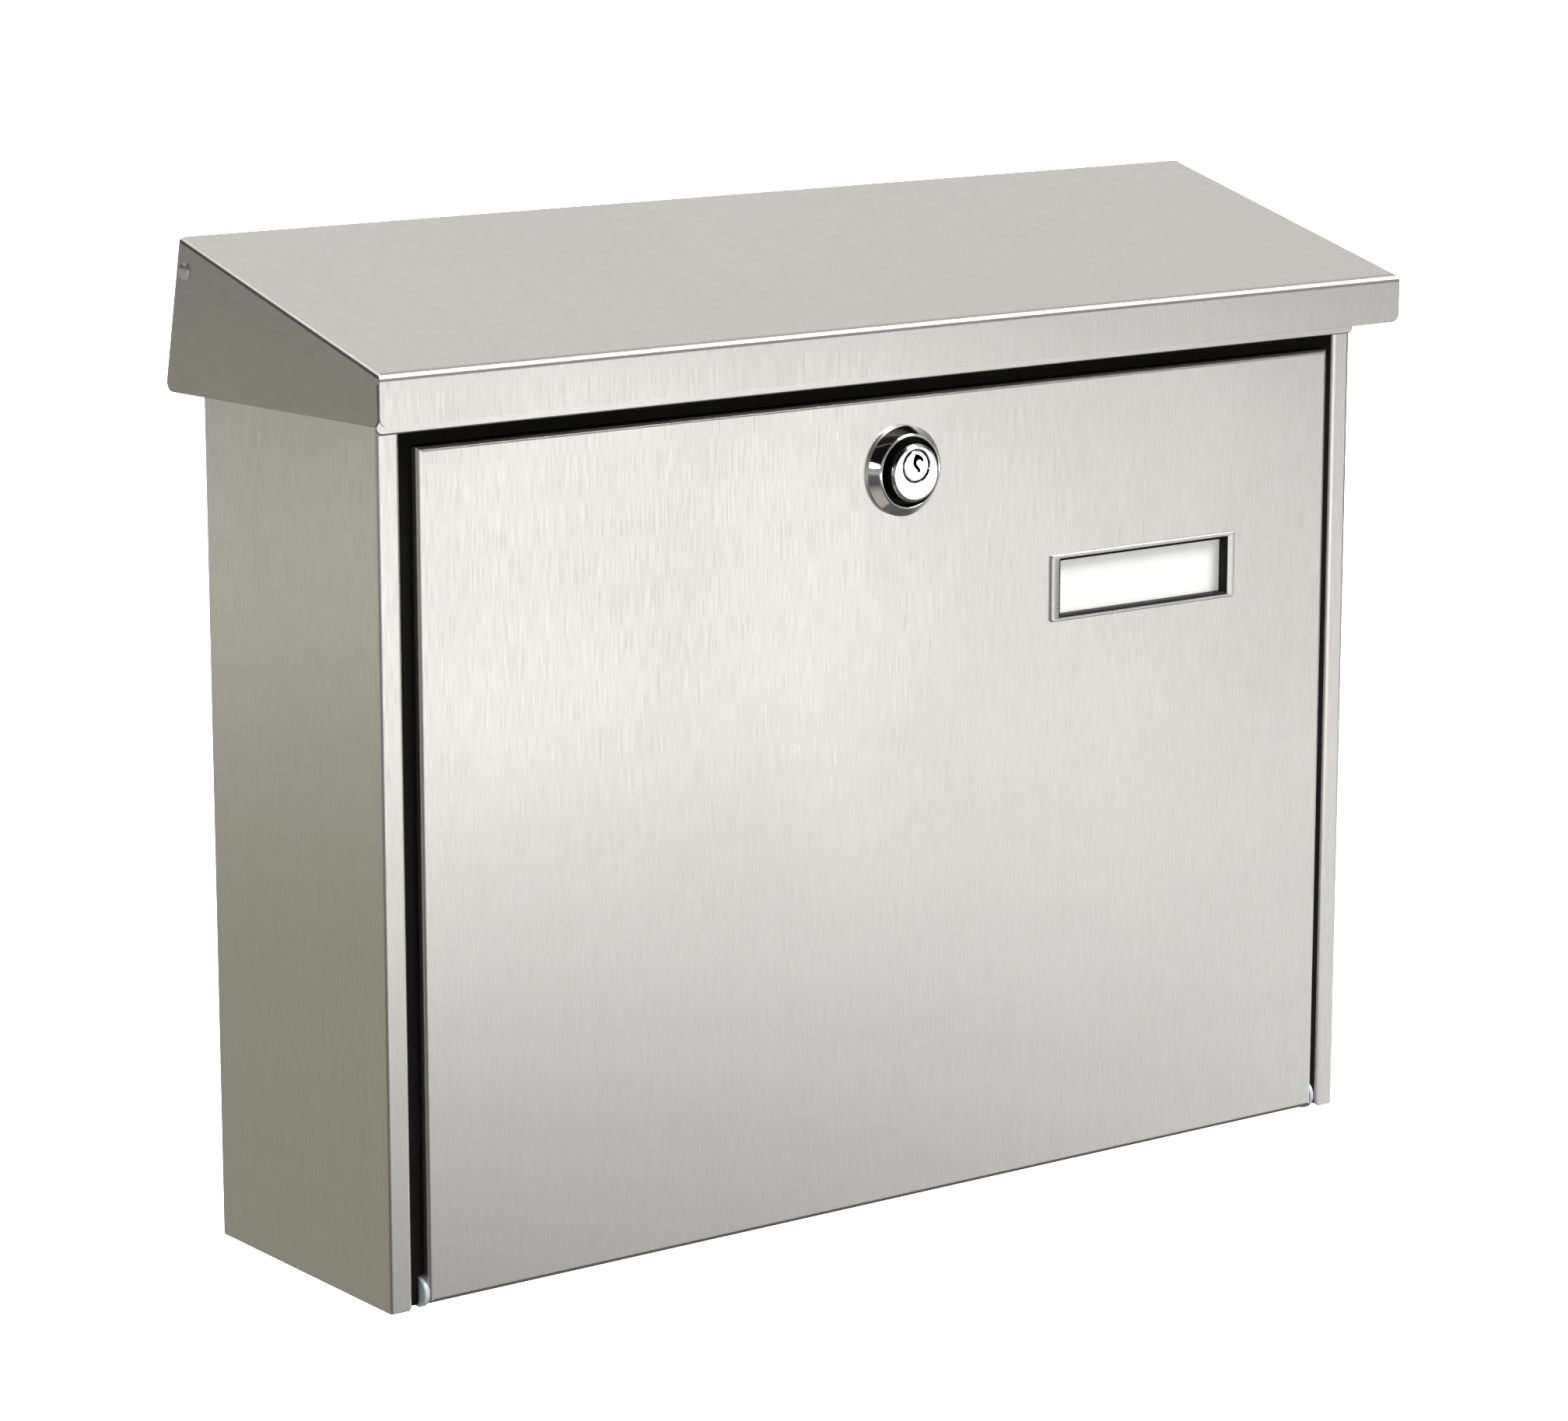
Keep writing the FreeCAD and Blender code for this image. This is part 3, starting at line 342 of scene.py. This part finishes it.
def nylon(name):
    """Pale unfilled nylon, slightly translucent."""
    material = plastic(name, (0.66, 0.70, 0.78), (0.80, 0.84, 0.90), 0.38, 1400.0, 0.02 * MM)
    shader = material.node_tree.nodes["Principled BSDF"]
    shader.inputs["Subsurface Weight"].default_value = 0.25
    shader.inputs["Subsurface Scale"].default_value = 0.8 * MM
    return material


def clear_pane(name):
    """A clear acrylic window, faintly scuffed."""
    material, tree, shader = new_material(name)
    scuff = tree.noise(tree.coordinates("Object"), 500.0, 4.0)
    tree.link(tree.mix_colour(scuff, (0.97, 0.98, 0.98), (1, 1, 1)), shader.inputs["Base Color"])
    tree.link(tree.spread(scuff, 0.4, 0.8, 0.0, 0.06), shader.inputs["Roughness"])
    shader.inputs["Alpha"].default_value = 0.12
    shader.inputs["IOR"].default_value = 1.49
    return material


def paper(name):
    """Plain white card with a short fibre and a painted glow that brightens it."""
    material, tree, shader = new_material(name)
    place = tree.coordinates("Object")
    fibre = tree.noise(place, 1800.0, 4.0, 0.6)
    tone = tree.mix_colour(fibre, (0.95, 0.95, 0.94), (0.99, 0.99, 0.985))
    tree.link(tone, shader.inputs["Base Color"])
    # Painted light: the card glows though it is no lamp.
    tree.link(tone, shader.inputs["Emission Color"])
    shader.inputs["Emission Strength"].default_value = 0.28
    tree.link(tree.spread(fibre, 0.3, 0.7, 0.75, 0.9), shader.inputs["Roughness"])
    tree.link(tree.bump(fibre, 0.02 * MM), shader.inputs["Normal"])
    return material


def bezel(name):
    """Satin silver moulding."""
    material, tree, shader = new_material(name)
    texture = tree.noise(tree.coordinates("Object"), 1200.0, 3.0)
    tone = tree.mix_colour(texture, (0.60, 0.60, 0.58), (0.68, 0.68, 0.66))
    tree.link(tone, shader.inputs["Base Color"])
    tree.link(tree.spread(texture, 0.3, 0.7, 0.26, 0.36), shader.inputs["Roughness"])
    tree.link(tree.bump(texture, 0.008 * MM), shader.inputs["Normal"])
    shader.inputs["Metallic"].default_value = 0.9
    return material


def shaded_metal(name, colour):
    """Metal inside a narrow gap, painted dark as the shade there, with a mottled tone."""
    material, tree, shader = new_material(name)
    shade_mottle = tree.noise(tree.coordinates("Object"), 900.0, 3.0)
    tree.link(tree.mix_colour(shade_mottle, scaled(colour, 0.5), colour), shader.inputs["Base Color"])
    tree.link(tree.spread(shade_mottle, 0.3, 0.7, 0.45, 0.65), shader.inputs["Roughness"])
    tree.link(tree.bump(shade_mottle, 0.01 * MM), shader.inputs["Normal"])
    shader.inputs["Metallic"].default_value = 0.8
    return material


ACROSS_SLOPE = (0, -math.sin(ROOF_SLOPE), math.cos(ROOF_SLOPE))
DOWN_SLOPE = (0, math.cos(ROOF_SLOPE), math.sin(ROOF_SLOPE))
MATERIALS = {
    "housing_steel": brushed_sheet("housing_steel", 0.55, 1.0),
    # The lid's copy of the steel is made darker than the housing's: painted shade.
    "lid_steel": brushed_sheet("lid_steel", 0.7, 0.93, ACROSS_SLOPE, DOWN_SLOPE),
    "zinc": plated_steel("zinc_plate", (0.62, 0.64, 0.65), 0.34),
    "pin": plated_steel("pin_steel", (0.92, 0.92, 0.90), 0.5),
    "chrome": chrome("lock_chrome"),
    # Near-black metal stands in for the shade in the lock's gaps and keyway and the name window's walls:
    # painted shade.
    "gap": shaded_metal("lock_gap_painted_shade", (0.02, 0.02, 0.02)),
    "keyway": shaded_metal("lock_keyway_painted_shade", (0.035, 0.033, 0.026)),
    "seal": seal_rubber("seal_rubber"),
    "nylon": nylon("white_nylon"),
    "grey": plastic("grey_plastic", (0.16, 0.16, 0.165), (0.20, 0.20, 0.205), 0.5, 1600.0, 0.02 * MM),
    "bezel": bezel("silver_bezel"),
    "pane": clear_pane("clear_pane"),
    "card": paper("white_card"),
}
FINISH = {
    "housing_wrap": "housing_steel",
    "floor_panel": "housing_steel",
    "inlet_panel": "housing_steel",
    "door_panel": "housing_steel",
    "lid_hood": "lid_steel",
    "strike_plate": "zinc",
    "lid_clip_left": "zinc",
    "lid_clip_right": "zinc",
    "hinge_pin_left": "zinc",
    "hinge_pin_right": "zinc",
    "lock_nut": "zinc",
    "lock_cam": "zinc",
    "cam_screw": "zinc",
    "lid_pin_left": "pin",
    "lid_pin_right": "pin",
    "door_seal": "seal",
    "lid_buffer_left": "seal",
    "lid_buffer_right": "seal",
    "hinge_bush_left": "nylon",
    "hinge_bush_right": "nylon",
    "lid_bush_left": "nylon",
    "lid_bush_right": "nylon",
    "wall_spacers": "grey",
    "name_holder": "grey",
    "name_pane": "pane",
    "name_card": "card",
}


def dress_nodes():
    """Give each CAD node its material."""
    for node, finish in FINISH.items():
        for slot in NODES[node].material_slots:
            slot.material = MATERIALS[finish]


# --- new pieces ----------------------------------------------------------------------------------

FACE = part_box("door_panel")[0].y
STEPS = 128
SHARP_ANGLE = math.radians(38)
WELD_DISTANCE = 1e-6
# Heights out of the door's face and widths across it, in millimetres.
LOCK_FRONT = 7.2
BARREL_END = -14.2
PLUG_END = -16.5
CAM_SQUARE = 6.0
NAME_RIM = (79, 22)
NAME_OPENING = (71, 18)
NAME_SLEEVE = (75, 19.6)
NAME_HEIGHT = 1.0
NAME_DEPTH = -2.4


def middle(node):
    low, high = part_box(node)
    return (low + high) / 2


def rounded(points, radii, steps=5):
    """The polyline with each inner corner turned into an arc of its own radius."""
    points = [Vector(point) for point in points]
    result = [points[0]]
    for before, corner, after, radius in zip(points, points[1:], points[2:], radii):
        back = before - corner
        ahead = after - corner
        reach = min(radius / math.tan(back.angle(ahead) / 2), back.length * 0.48, ahead.length * 0.48)
        start = corner + back.normalized() * reach
        end = corner + ahead.normalized() * reach
        for step in range(steps + 1):
            t = step / steps
            result.append(start * (1 - t) ** 2 + corner * 2 * t * (1 - t) + end * t ** 2)
    result.append(points[-1])
    return result


def on_door(centre, across, up, height):
    """A point across and up from the centre, at a height out of the door's face, all in millimetres."""
    return Vector((centre.x + across * MM, FACE - height * MM, centre.z + up * MM))


def circle(centre, height, radius):
    """A ring of points at a height out of the door's face."""
    angles = [2 * math.pi * step / STEPS for step in range(STEPS)]
    return [on_door(centre, radius * math.cos(angle), radius * math.sin(angle), height) for angle in angles]


def rectangle(centre, height, width, depth, corner, steps=6):
    """A ring of points round a rectangle with rounded corners."""
    ring = []
    for turn, (sign_x, sign_z) in enumerate(((1, 1), (-1, 1), (-1, -1), (1, -1))):
        x = sign_x * (width / 2 - corner)
        z = sign_z * (depth / 2 - corner)
        for step in range(steps + 1):
            angle = math.pi / 2 * (turn + step / steps)
            across = x + corner * math.cos(angle)
            up = z + corner * math.sin(angle)
            ring.append(on_door(centre, across, up, height))
    return ring


def skin(shape, rings, closed=False, finish=lambda row: 0):
    """Join each ring of points to the next with a band of faces, and give each band its finish."""
    rows = [[shape.verts.new(point) for point in ring] for ring in rings]
    pairs = list(zip(rows, rows[1:]))
    if closed:
        pairs.append((rows[-1], rows[0]))
    for index, (near, far) in enumerate(pairs):
        for step in range(len(near)):
            after = (step + 1) % len(near)
            face = shape.faces.new((near[step], near[after], far[after], far[step]))
            face.material_index = finish(index)
    return rows


def finish_piece(name, shape, finishes, body, node):
    """Turn the shape into an object that stands for a CAD node and rides on its body."""
    bmesh.ops.remove_doubles(shape, verts=shape.verts, dist=WELD_DISTANCE)
    bmesh.ops.recalc_face_normals(shape, faces=shape.faces)
    for face in shape.faces:
        face.smooth = True
    mesh = bpy.data.meshes.new(name)
    shape.to_mesh(mesh)
    shape.free()
    mesh.set_sharp_from_angle(angle=SHARP_ANGLE)
    for finish in finishes:
        mesh.materials.append(MATERIALS[finish])
    piece = bpy.data.objects.new(name, mesh)
    bpy.context.scene.collection.objects.link(piece)
    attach(piece, body)
    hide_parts(node)


def make_lock_ring():
    """The bevelled ring: a steep outer flank, a narrow rim and a well painted dark as shade."""
    seat = [(2.0, 9.15), (0.0, 9.15)]
    flank = [(0.0, 14.5), (1.2, 14.5), (4.1, 12.2), (4.5, 11.6)]
    well = [(4.3, 11.1), (2.0, 11.1)]
    profile = rounded(seat + flank + well, [0.1, 0.1, 0.3, 0.5, 0.3, 0.2])
    # The well's walls take the gap material: painted shade.
    dark = [row for row, (height, radius) in enumerate(profile) if radius < 11.15 and height > 0.5]
    shape = bmesh.new()
    rings = [circle(middle("lock_rosette"), *point) for point in profile]
    skin(shape, rings, True, lambda row: 1 if row in dark else 0)
    finish_piece("lock_ring", shape, ["chrome", "gap"], "door", "lock_rosette")


def grooves(start, end, crest, pitch, depth):
    """Heights and radii down a row of level grooves, which stand in for the helix of a screw thread."""
    count = int((start - end) / pitch)
    rows = []
    for groove in range(count):
        for share, drop in ((0.0, 0.0), (0.15, 0.0), (0.5, depth), (0.65, depth)):
            rows.append((start - (groove + share) * pitch, crest - drop))
    return rows


def make_lock_body():
    """The grooved barrel with its polished head and an off-centre bore for the plug."""
    centre = middle("lock_barrel")
    plug = middle("lock_plug")
    face = [(LOCK_FRONT, 5.6), (LOCK_FRONT, 8.4), (6.5, 9.3)]
    head = rounded(face + [(2.0, 9.3), (2.0, 9.0), (-1.0, 9.0)], [0.3, 0.5, 0.1, 0.05])
    tail = grooves(-1.2, -13.4, 9.0, 1.0, 0.45) + [(-13.8, 8.9), (BARREL_END, 8.4), (BARREL_END, 5.4)]
    bore = [(BARREL_END, 5.2), (6.7, 5.2), (6.95, 5.3), (LOCK_FRONT, 5.6)]
    rings = [circle(centre, *point) for point in head + tail]
    rings += [circle(plug, *point) for point in bore]
    # The face's inner edge is the bore's, which is off centre, so its ring starts further out.
    rings[0] = circle(centre, LOCK_FRONT, 8.0)
    # The head's side in the gap under the ring and the deep bore take the gap material: painted shade.
    side = [row for row, (height, radius) in enumerate(head) if radius > 8.95 and height < 6.4]
    deep = range(len(head + tail), len(rings) - 2)
    shape = bmesh.new()
    skin(shape, rings, True, lambda row: 1 if row in side or row in deep else 0)
    finish_piece("lock_body", shape, ["chrome", "gap"], "door", "lock_barrel")


# The keyway's outline, in millimetres from the plug's centre.
KEYWAY = [
    (-0.3, 4.0), (0.8, 3.6), (2.5, 2.6), (2.9, 1.4), (2.2, 1.1), (1.5, 1.9), (0.7, 1.9), (0.1, 1.3), (0.1, 0.6),
    (0.9, -0.3), (1.6, -1.2), (1.5, -2.1), (0.7, -2.2), (0.3, -1.3), (-0.7, -0.4), (-1.3, 0.6), (-1.2, 1.9),
    (-0.8, 3.0),
]
KEYWAY_FLOOR = -1.0


def inside(point, outline):
    """Whether a flat point lies within a closed outline."""
    crossings = 0
    for (x, z), (next_x, next_z) in zip(outline, outline[1:] + outline[:1]):
        if (z > point.y) != (next_z > point.y):
            crossings += point.x < x + (next_x - x) * (point.y - z) / (next_z - z)
    return crossings % 2 == 1


def fill_plug_face(shape, centre, rim):
    """The plug's flat face between its rim and the keyway."""
    border = [Vector((point.x - centre.x, point.z - centre.z)) / MM for point in rim]
    slot = [Vector(point) for point in KEYWAY]
    first = len(border)
    edges = [(first + step, first + (step + 1) % len(slot)) for step in range(len(slot))]
    points, _, faces, *_ = delaunay_2d_cdt(border + slot, edges, [], 0, 1e-5)
    front = [shape.verts.new(on_door(centre, point.x, point.y, LOCK_FRONT)) for point in points]
    for face in faces:
        centroid = sum((points[index] for index in face), Vector((0, 0))) / len(face)
        if not inside(centroid, KEYWAY):
            shape.faces.new([front[index] for index in face])


def make_lock_plug():
    """The plug: a bevelled face with a cranked keyway, and a square end for the cam."""
    centre = middle("lock_plug")
    side = rounded([(LOCK_FRONT, 4.4), (LOCK_FRONT, 4.55), (6.85, 4.95), (-14.5, 4.95)], [0.1, 0.2])
    rings = [circle(centre, *point) for point in side]
    shape = bmesh.new()
    skin(shape, rings)
    shape.faces.new([shape.verts.new(point) for point in rings[-1]])
    fill_plug_face(shape, centre, rings[0])
    # The keyway's walls and floor take the keyway material: painted shade.
    slot = [[on_door(centre, x, z, depth) for x, z in KEYWAY] for depth in (LOCK_FRONT, KEYWAY_FLOOR)]
    walls = skin(shape, slot, finish=lambda row: 1)
    shape.faces.new(walls[-1]).material_index = 1
    square = [rectangle(centre, depth, CAM_SQUARE, CAM_SQUARE, 0.2) for depth in (-14.4, PLUG_END)]
    ends = skin(shape, square)
    shape.faces.new(ends[-1])
    finish_piece("lock_plug_body", shape, ["chrome", "keyway"], "lock_cylinder", "lock_plug")


def make_bezel():
    """The name window's rim: rounded outside, chamfered round its opening, sleeved through the door."""
    centre = middle("name_frame")
    outer = rounded([(0.0, 0.0), (NAME_HEIGHT, 0.0), (NAME_HEIGHT, 4.0)], [0.45])

    def ring(height, size, growth=0.0, corner=0.3):
        return rectangle(centre, height, size[0] + growth, size[1] + growth, corner)

    rings = [ring(height, NAME_RIM, -2 * inset, 0.8) for height, inset in outer[:-1]]
    chamfer = len(rings)
    rings.append(ring(NAME_HEIGHT, NAME_OPENING, 1.7, 0.5))
    rings.append(ring(NAME_HEIGHT / 2, NAME_OPENING))
    rings.append(ring(NAME_DEPTH, NAME_OPENING))
    rings.append(ring(NAME_DEPTH, NAME_SLEEVE))
    rings.append(ring(0.0, NAME_SLEEVE))
    shape = bmesh.new()
    # The chamfer and the opening's inner wall take the gap material: painted shade.
    skin(shape, rings, True, lambda row: 1 if row in (chamfer, chamfer + 1) else 0)
    finish_piece("name_bezel", shape, ["bezel", "gap"], "door", "name_frame")


# --- stage ---------------------------------------------------------------------------------------

CAMERA_PLACE = (-0.962, -1.3542, 0.3492)
CAMERA_TURN = math.radians(36.436)
CAMERA_PITCH = math.radians(11.876)
CAMERA_LENS = 115.3
FLOOR_DROP = 0.85
FLOOR_SIZE = 60.0
FLOOR_TONE = grey(0.95)
FLOOR_GLOW = 2.1
TONE_REACH = 10.0
# What the steel mirrors of the floor is darker than the floor itself: its tones out to TONE_REACH.
FLOOR_SHADE = [
    (0.0, grey(0.07)),
    (0.25, grey(0.16)),
    (0.45, grey(0.23)),
    (0.7, grey(0.32)),
    (1.0, grey(0.29)),
]
FRONT_POOL = [
    (0.0, grey(0.03)),
    (0.15, grey(0.05)),
    (0.22, grey(0.23)),
    (0.28, grey(0.43)),
    (0.36, grey(0.39)),
    (0.45, grey(0.23)),
    (0.58, grey(0.05)),
    (0.75, grey(0.01)),
]
BRIGHT_POOL = [
    (0.0, grey(0.04)),
    (0.2, grey(0.05)),
    (0.28, grey(0.14)),
    (0.36, grey(0.21)),
    (0.45, grey(0.5)),
    (0.58, grey(0.87)),
    (0.68, grey(1.0)),
    (0.83, grey(1.0)),
    (0.9, grey(0.36)),
    (1.0, grey(0.2)),
]
LEFT_POOL = [
    (0.0, grey(0.03)),
    (0.03, (0.15, 0.14, 0.12)),
    (0.1, (0.14, 0.13, 0.12)),
    (0.2, grey(0.03)),
    (0.6, grey(0.05)),
    (1.0, grey(0.14)),
]
WALL_POOL = [
    (0.0, (0.13, 0.12, 0.11)),
    (0.26, (0.11, 0.11, 0.09)),
    (0.44, (0.11, 0.11, 0.09)),
    (0.56, (0.20, 0.20, 0.18)),
    (0.68, (0.39, 0.39, 0.35)),
    (0.78, (0.53, 0.53, 0.48)),
    (0.82, (0.06, 0.06, 0.055)),
    (1.0, grey(0.01)),
]
# Each pool: its heading from the wall side and how far it is full and fades, in degrees, and its tones.
FLOOR_POOLS = [
    (118, 38, 60, FRONT_POOL),
    (184, 40, 52, BRIGHT_POOL),
    (242, 25, 36, LEFT_POOL),
    (-48, 28, 52, WALL_POOL),
]
STUDIO_LEVEL = 0.35
STUDIO_WARMTH = (1.0, 0.995, 0.955)
# Each glow or shade: its direction, where it fades in degrees, and its strength.
STUDIO_GLOWS = [
    ((0.42, 0.72, 0.56), 18, 48, 0.53),
    ((0.7, -0.3, 0.75), 12, 40, 0.18),
]
STUDIO_SHADES = [
    ((-0.5, 0.85, 0.15), 24, 50, 0.96),
    ((-0.55, -0.30, 0.78), 34, 50, 0.98),
]
LIGHT_AIM = Vector((0, 0, 0.1))


def cone(tree, direction, centre, inner, outer, high):
    """High within inner degrees of the centre, fading to 0 at outer degrees."""
    near = tree.dot(direction, centre)
    return tree.spread(near, math.cos(math.radians(outer)), math.cos(math.radians(inner)), 0.0, high, True)


def make_floor():
    """A wide pale floor well below the box, with soft pools of light and shade in front and on the left."""
    mesh = bpy.data.meshes.new("studio_floor")
    shape = bmesh.new()
    bmesh.ops.create_grid(shape, x_segments=4, y_segments=4, size=FLOOR_SIZE / 2)
    shape.to_mesh(mesh)
    shape.free()
    floor = bpy.data.objects.new("studio_floor", mesh)
    floor.location.z = CAD_BOX[0].z - FLOOR_DROP
    bpy.context.scene.collection.objects.link(floor)
    material, tree, shader = new_material("studio_floor")
    place = tree.coordinates("Object")
    away = tree.add("ShaderNodeVectorMath", operation="NORMALIZE")
    tree.link(place, away.inputs[0])
    reach = tree.add("ShaderNodeVectorMath", operation="LENGTH")
    tree.link(place, reach.inputs[0])
    distance = tree.spread(reach.outputs["Value"], 0.0, TONE_REACH, 0.0, 1.0)
    tone = tree.ramp(distance, FLOOR_SHADE)
    for heading, inner, outer, tones in FLOOR_POOLS:
        angle = math.radians(heading)
        centre = (math.sin(angle), math.cos(angle), 0)
        share = cone(tree, away.outputs[0], centre, inner, outer, 1.0)
        tone = tree.mix_colour(share, tone, tree.ramp(distance, tones))
    tone = tree.mix_colour(tree.seen(), tone, FLOOR_TONE)
    tree.link(tone, shader.inputs["Base Color"])
    tree.link(tone, shader.inputs["Emission Color"])
    shader.inputs["Emission Strength"].default_value = FLOOR_GLOW
    shader.inputs["Roughness"].default_value = 1.0
    shader.inputs["Specular IOR Level"].default_value = 0.0
    mesh.materials.append(material)


def make_world():
    """Soft studio surroundings: brighter behind on the right, dark behind and above on the left."""
    world = bpy.data.worlds.new("studio")
    world.use_nodes = True
    bpy.context.scene.world = world
    tree = Tree(world.node_tree)
    direction = tree.coordinates("Generated")

    def patch(centre, inner, outer, strength):
        return cone(tree, direction, tuple(Vector(centre).normalized()), inner, outer, strength)

    level = STUDIO_LEVEL
    for glow in STUDIO_GLOWS:
        level = tree.math("ADD", level, patch(*glow))
    for shade in STUDIO_SHADES:
        level = tree.math("MULTIPLY", level, tree.math("SUBTRACT", 1.0, patch(*shade)))
    level = tree.mix(tree.seen(), level, 1.0)
    background = world.node_tree.nodes["Background"]
    warm = tree.combine(*(tree.math("MULTIPLY", level, share) for share in STUDIO_WARMTH))
    tree.link(warm, background.inputs["Color"])
    background.inputs["Strength"].default_value = 1.0


def hang_lamp(light, direction):
    """Put a light in the scene, shining along a direction."""
    lamp = bpy.data.objects.new(light.name, light)
    lamp.rotation_euler = Vector(direction).to_track_quat("-Z", "Y").to_euler()
    bpy.context.scene.collection.objects.link(lamp)
    return lamp


def softbox(name, place, size, power):
    """A round soft light aimed at the box."""
    light = bpy.data.lights.new(name, "AREA")
    light.shape = "DISK"
    light.size = size
    light.energy = power
    lamp = hang_lamp(light, LIGHT_AIM - Vector(place))
    lamp.location = place


def make_lights():
    sun = bpy.data.lights.new("overhead", "SUN")
    sun.energy = 2.6
    sun.angle = math.radians(30)
    hang_lamp(sun, (-0.45, 0.55, -0.7))
    softbox("side_softbox", (-2.9, -1.35, 0.7), 0.6, 5)
    softbox("rear_softbox", (-1.6, 2.2, 3.1), 1.6, 12)


def make_camera():
    lens = bpy.data.cameras.new("camera")
    lens.lens = CAMERA_LENS
    lens.sensor_width = 36.0
    lens.clip_start = 0.05
    lens.clip_end = 200.0
    lens.dof.use_dof = False
    camera = bpy.data.objects.new("camera", lens)
    camera.location = CAMERA_PLACE
    camera.rotation_euler = (math.pi / 2 - CAMERA_PITCH, 0, -CAMERA_TURN)
    bpy.context.scene.collection.objects.link(camera)
    bpy.context.scene.camera = camera


dress_nodes()
make_lock_ring()
make_lock_body()
make_lock_plug()
make_bezel()
make_floor()
make_world()
make_lights()
make_camera()
bpy.context.scene.view_settings.view_transform = "Standard"
